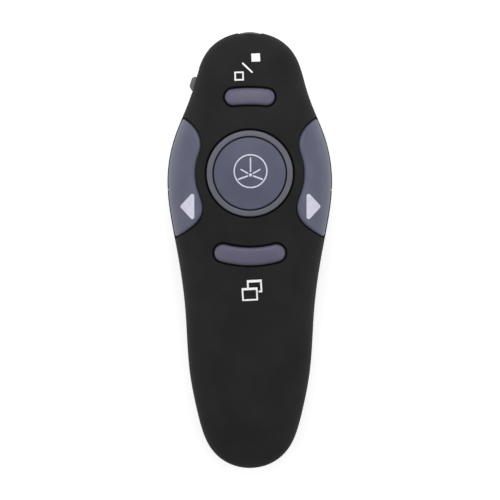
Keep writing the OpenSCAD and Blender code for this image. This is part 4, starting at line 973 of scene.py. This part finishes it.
# Glass-epoxy board under green solder mask, with the weave just showing
solder_mask = finish("green_solder_mask", "#17472e", "#1d5537", 0.0006, 0.3, (0.0006, 0.00001, 0.3))
# Free-cutting brass, turned: warm, with fine tool marks
turned_brass = finish("turned_brass", "#b18f45", "#c4a256", 0.001, 0.3, (0.0002, 0.00001, 0.3), Metallic=1.0)
# Optical glass, ground and polished: clear, with a sharp highlight
lens_glass = finish("polished_glass", "#d5e4ea", "#dfecf1", 0.003, 0.04, (0.002, 0.000002, 0.1),
                    IOR=1.52, Alpha=0.45)
# Glass-filled nylon resins of the switches, moulded: black bodies and lever, red plungers, with a dull shine
switch_resin = finish("black_switch_resin", "#161616", "#1d1d1d", 0.001, 0.45)
red_resin = finish("red_switch_resin", "#7a1a1a", "#8e2222", 0.001, 0.4)
# Steel sheet, tin plated and stamped: bright but a little cloudy
tin_plate = finish("tinned_steel", "#b9babd", "#c6c7ca", 0.003, 0.32, (0.0008, 0.000008, 0.2), Metallic=1.0)
# Epoxy moulding compound of the chips: dull black
epoxy = finish("moulded_epoxy", "#141414", "#1b1b1b", 0.0008, 0.55)
# Shrunk PVC sleeve of the cells, printed in one blue: smooth, with a soft shine
sleeve = finish("printed_cell_sleeve", "#2f4c7d", "#375689", 0.008, 0.3)
# Spring steel, nickel plated, wound and stamped: a warm silver
spring_steel = finish("nickel_plated_spring_steel", "#b4b3ad", "#c3c2bc", 0.002, 0.25, (0.0006, 0.000006, 0.2),
                      Metallic=1.0)
# White resin of the receiver's tongue, moulded: a smooth off-white
white_resin = finish("white_lcp_resin", "#dcdcd8", "#e8e8e4", 0.002, 0.4)
INNER_PIECES = {
    "nose_window": smoked, "circuit_board": solder_mask, "laser_driver": solder_mask,
    "laser_barrel": turned_brass, "laser_lens": lens_glass,
    "slide_switch": tin_plate, "slide_lever": switch_resin, "crystal": tin_plate,
    "radio_chip": epoxy, "controller_chip": epoxy, "left_cell": sleeve, "right_cell": sleeve,
    "negative_contact": spring_steel, "positive_contact": spring_steel, "bridge_contact": spring_steel,
    "board_screws": zinc,
    "receiver_cap": bare_abs, "receiver_shell": tin_plate, "receiver_tongue": white_resin,
}
for key in ("previous", "next", "laser", "blank", "window"):
    INNER_PIECES[key + "_switch"] = switch_resin
    INNER_PIECES[key + "_plunger"] = red_resin
for node, made_of in INNER_PIECES.items():
    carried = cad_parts[node]
    carried.data.materials.clear()
    carried.data.materials.append(made_of)


# ==== Floor, light and camera ====
# A plain white floor that fades into a white surround, a broad soft light from the nose end and fill all round.
def emptied(holder):
    """The node tree of a material or a world, without its nodes."""
    holder.use_nodes = True
    holder.node_tree.nodes.clear()
    return holder.node_tree


def backdrop_rays(tree, kind):
    """1 for the camera's rays and one other kind, 0 for those that light the object."""
    rays = add(tree, "ShaderNodeLightPath")
    seen = add(tree, "ShaderNodeMath", {0: rays.outputs["Is Camera Ray"], 1: rays.outputs[kind]},
               operation="MAXIMUM")
    return seen.outputs[0]


bpy.ops.object.select_all(action="DESELECT")
bpy.ops.mesh.primitive_plane_add(size=6)
floor = bpy.context.object
floor.name = "floor"
# White paper: plain and diffuse, with a glow that lifts it to the surround's white
floor_white = bpy.data.materials.new("white_paper_floor")
tree = emptied(floor_white)
paper = add(tree, "ShaderNodeBsdfDiffuse", Color=linear("#e8e8e8"))
glow = add(tree, "ShaderNodeEmission", {"Strength": backdrop_rays(tree, "Is Glossy Ray")},
           Color=(0.55, 0.55, 0.55, 1.0))
lifted = add(tree, "ShaderNodeAddShader", {0: paper.outputs[0], 1: glow.outputs[0]})
add(tree, "ShaderNodeOutputMaterial", {"Surface": lifted.outputs[0]})
floor.data.materials.append(floor_white)

world = bpy.data.worlds.new("studio")
bpy.context.scene.world = world
tree = emptied(world)
fill = add(tree, "ShaderNodeBackground", Color=(1.0, 1.0, 1.0, 1.0), Strength=0.42)
white = add(tree, "ShaderNodeBackground", Color=(1.0, 1.0, 1.0, 1.0), Strength=1.0)
mixed = add(tree, "ShaderNodeMixShader",
            {0: backdrop_rays(tree, "Is Transmission Ray"), 1: fill.outputs[0], 2: white.outputs[0]})
add(tree, "ShaderNodeOutputWorld", {"Surface": mixed.outputs[0]})


def softbox(name, place, size, watts):
    """A square area light aimed at the middle of the case."""
    bpy.ops.object.light_add(type="AREA", location=place)
    lamp = bpy.context.object
    lamp.name = name
    lamp.data.size = size
    lamp.data.energy = watts
    aim = np.array([0, 0, 0.012]) - np.array(place)
    lamp.rotation_mode = "QUATERNION"
    lamp.rotation_quaternion = mathutils.Vector(aim).to_track_quat("-Z", "Y")


softbox("nose_softbox", (0.0, 0.7, 0.75), 0.8, 5.2)
softbox("left_softbox", (-0.75, -0.1, 0.6), 0.6, 2.0)
softbox("right_softbox", (0.75, -0.1, 0.6), 0.6, 2.0)

# The camera looks straight down from far off, with the nose at the top, and shows this width at the seam
CAMERA_HEIGHT = 4.0
VIEW_WIDTH = 0.133
SENSOR_WIDTH = 36.0
bpy.ops.object.camera_add(location=(0.00006, 0.0, CAMERA_HEIGHT + SEAM_Z * MM), rotation=(0, 0, 0))
camera = bpy.context.object
camera.name = "camera"
camera.data.sensor_width = SENSOR_WIDTH
camera.data.lens = SENSOR_WIDTH * CAMERA_HEIGHT / VIEW_WIDTH
camera.data.clip_end = 10.0
bpy.context.scene.camera = camera
bpy.context.scene.view_settings.view_transform = "Standard"
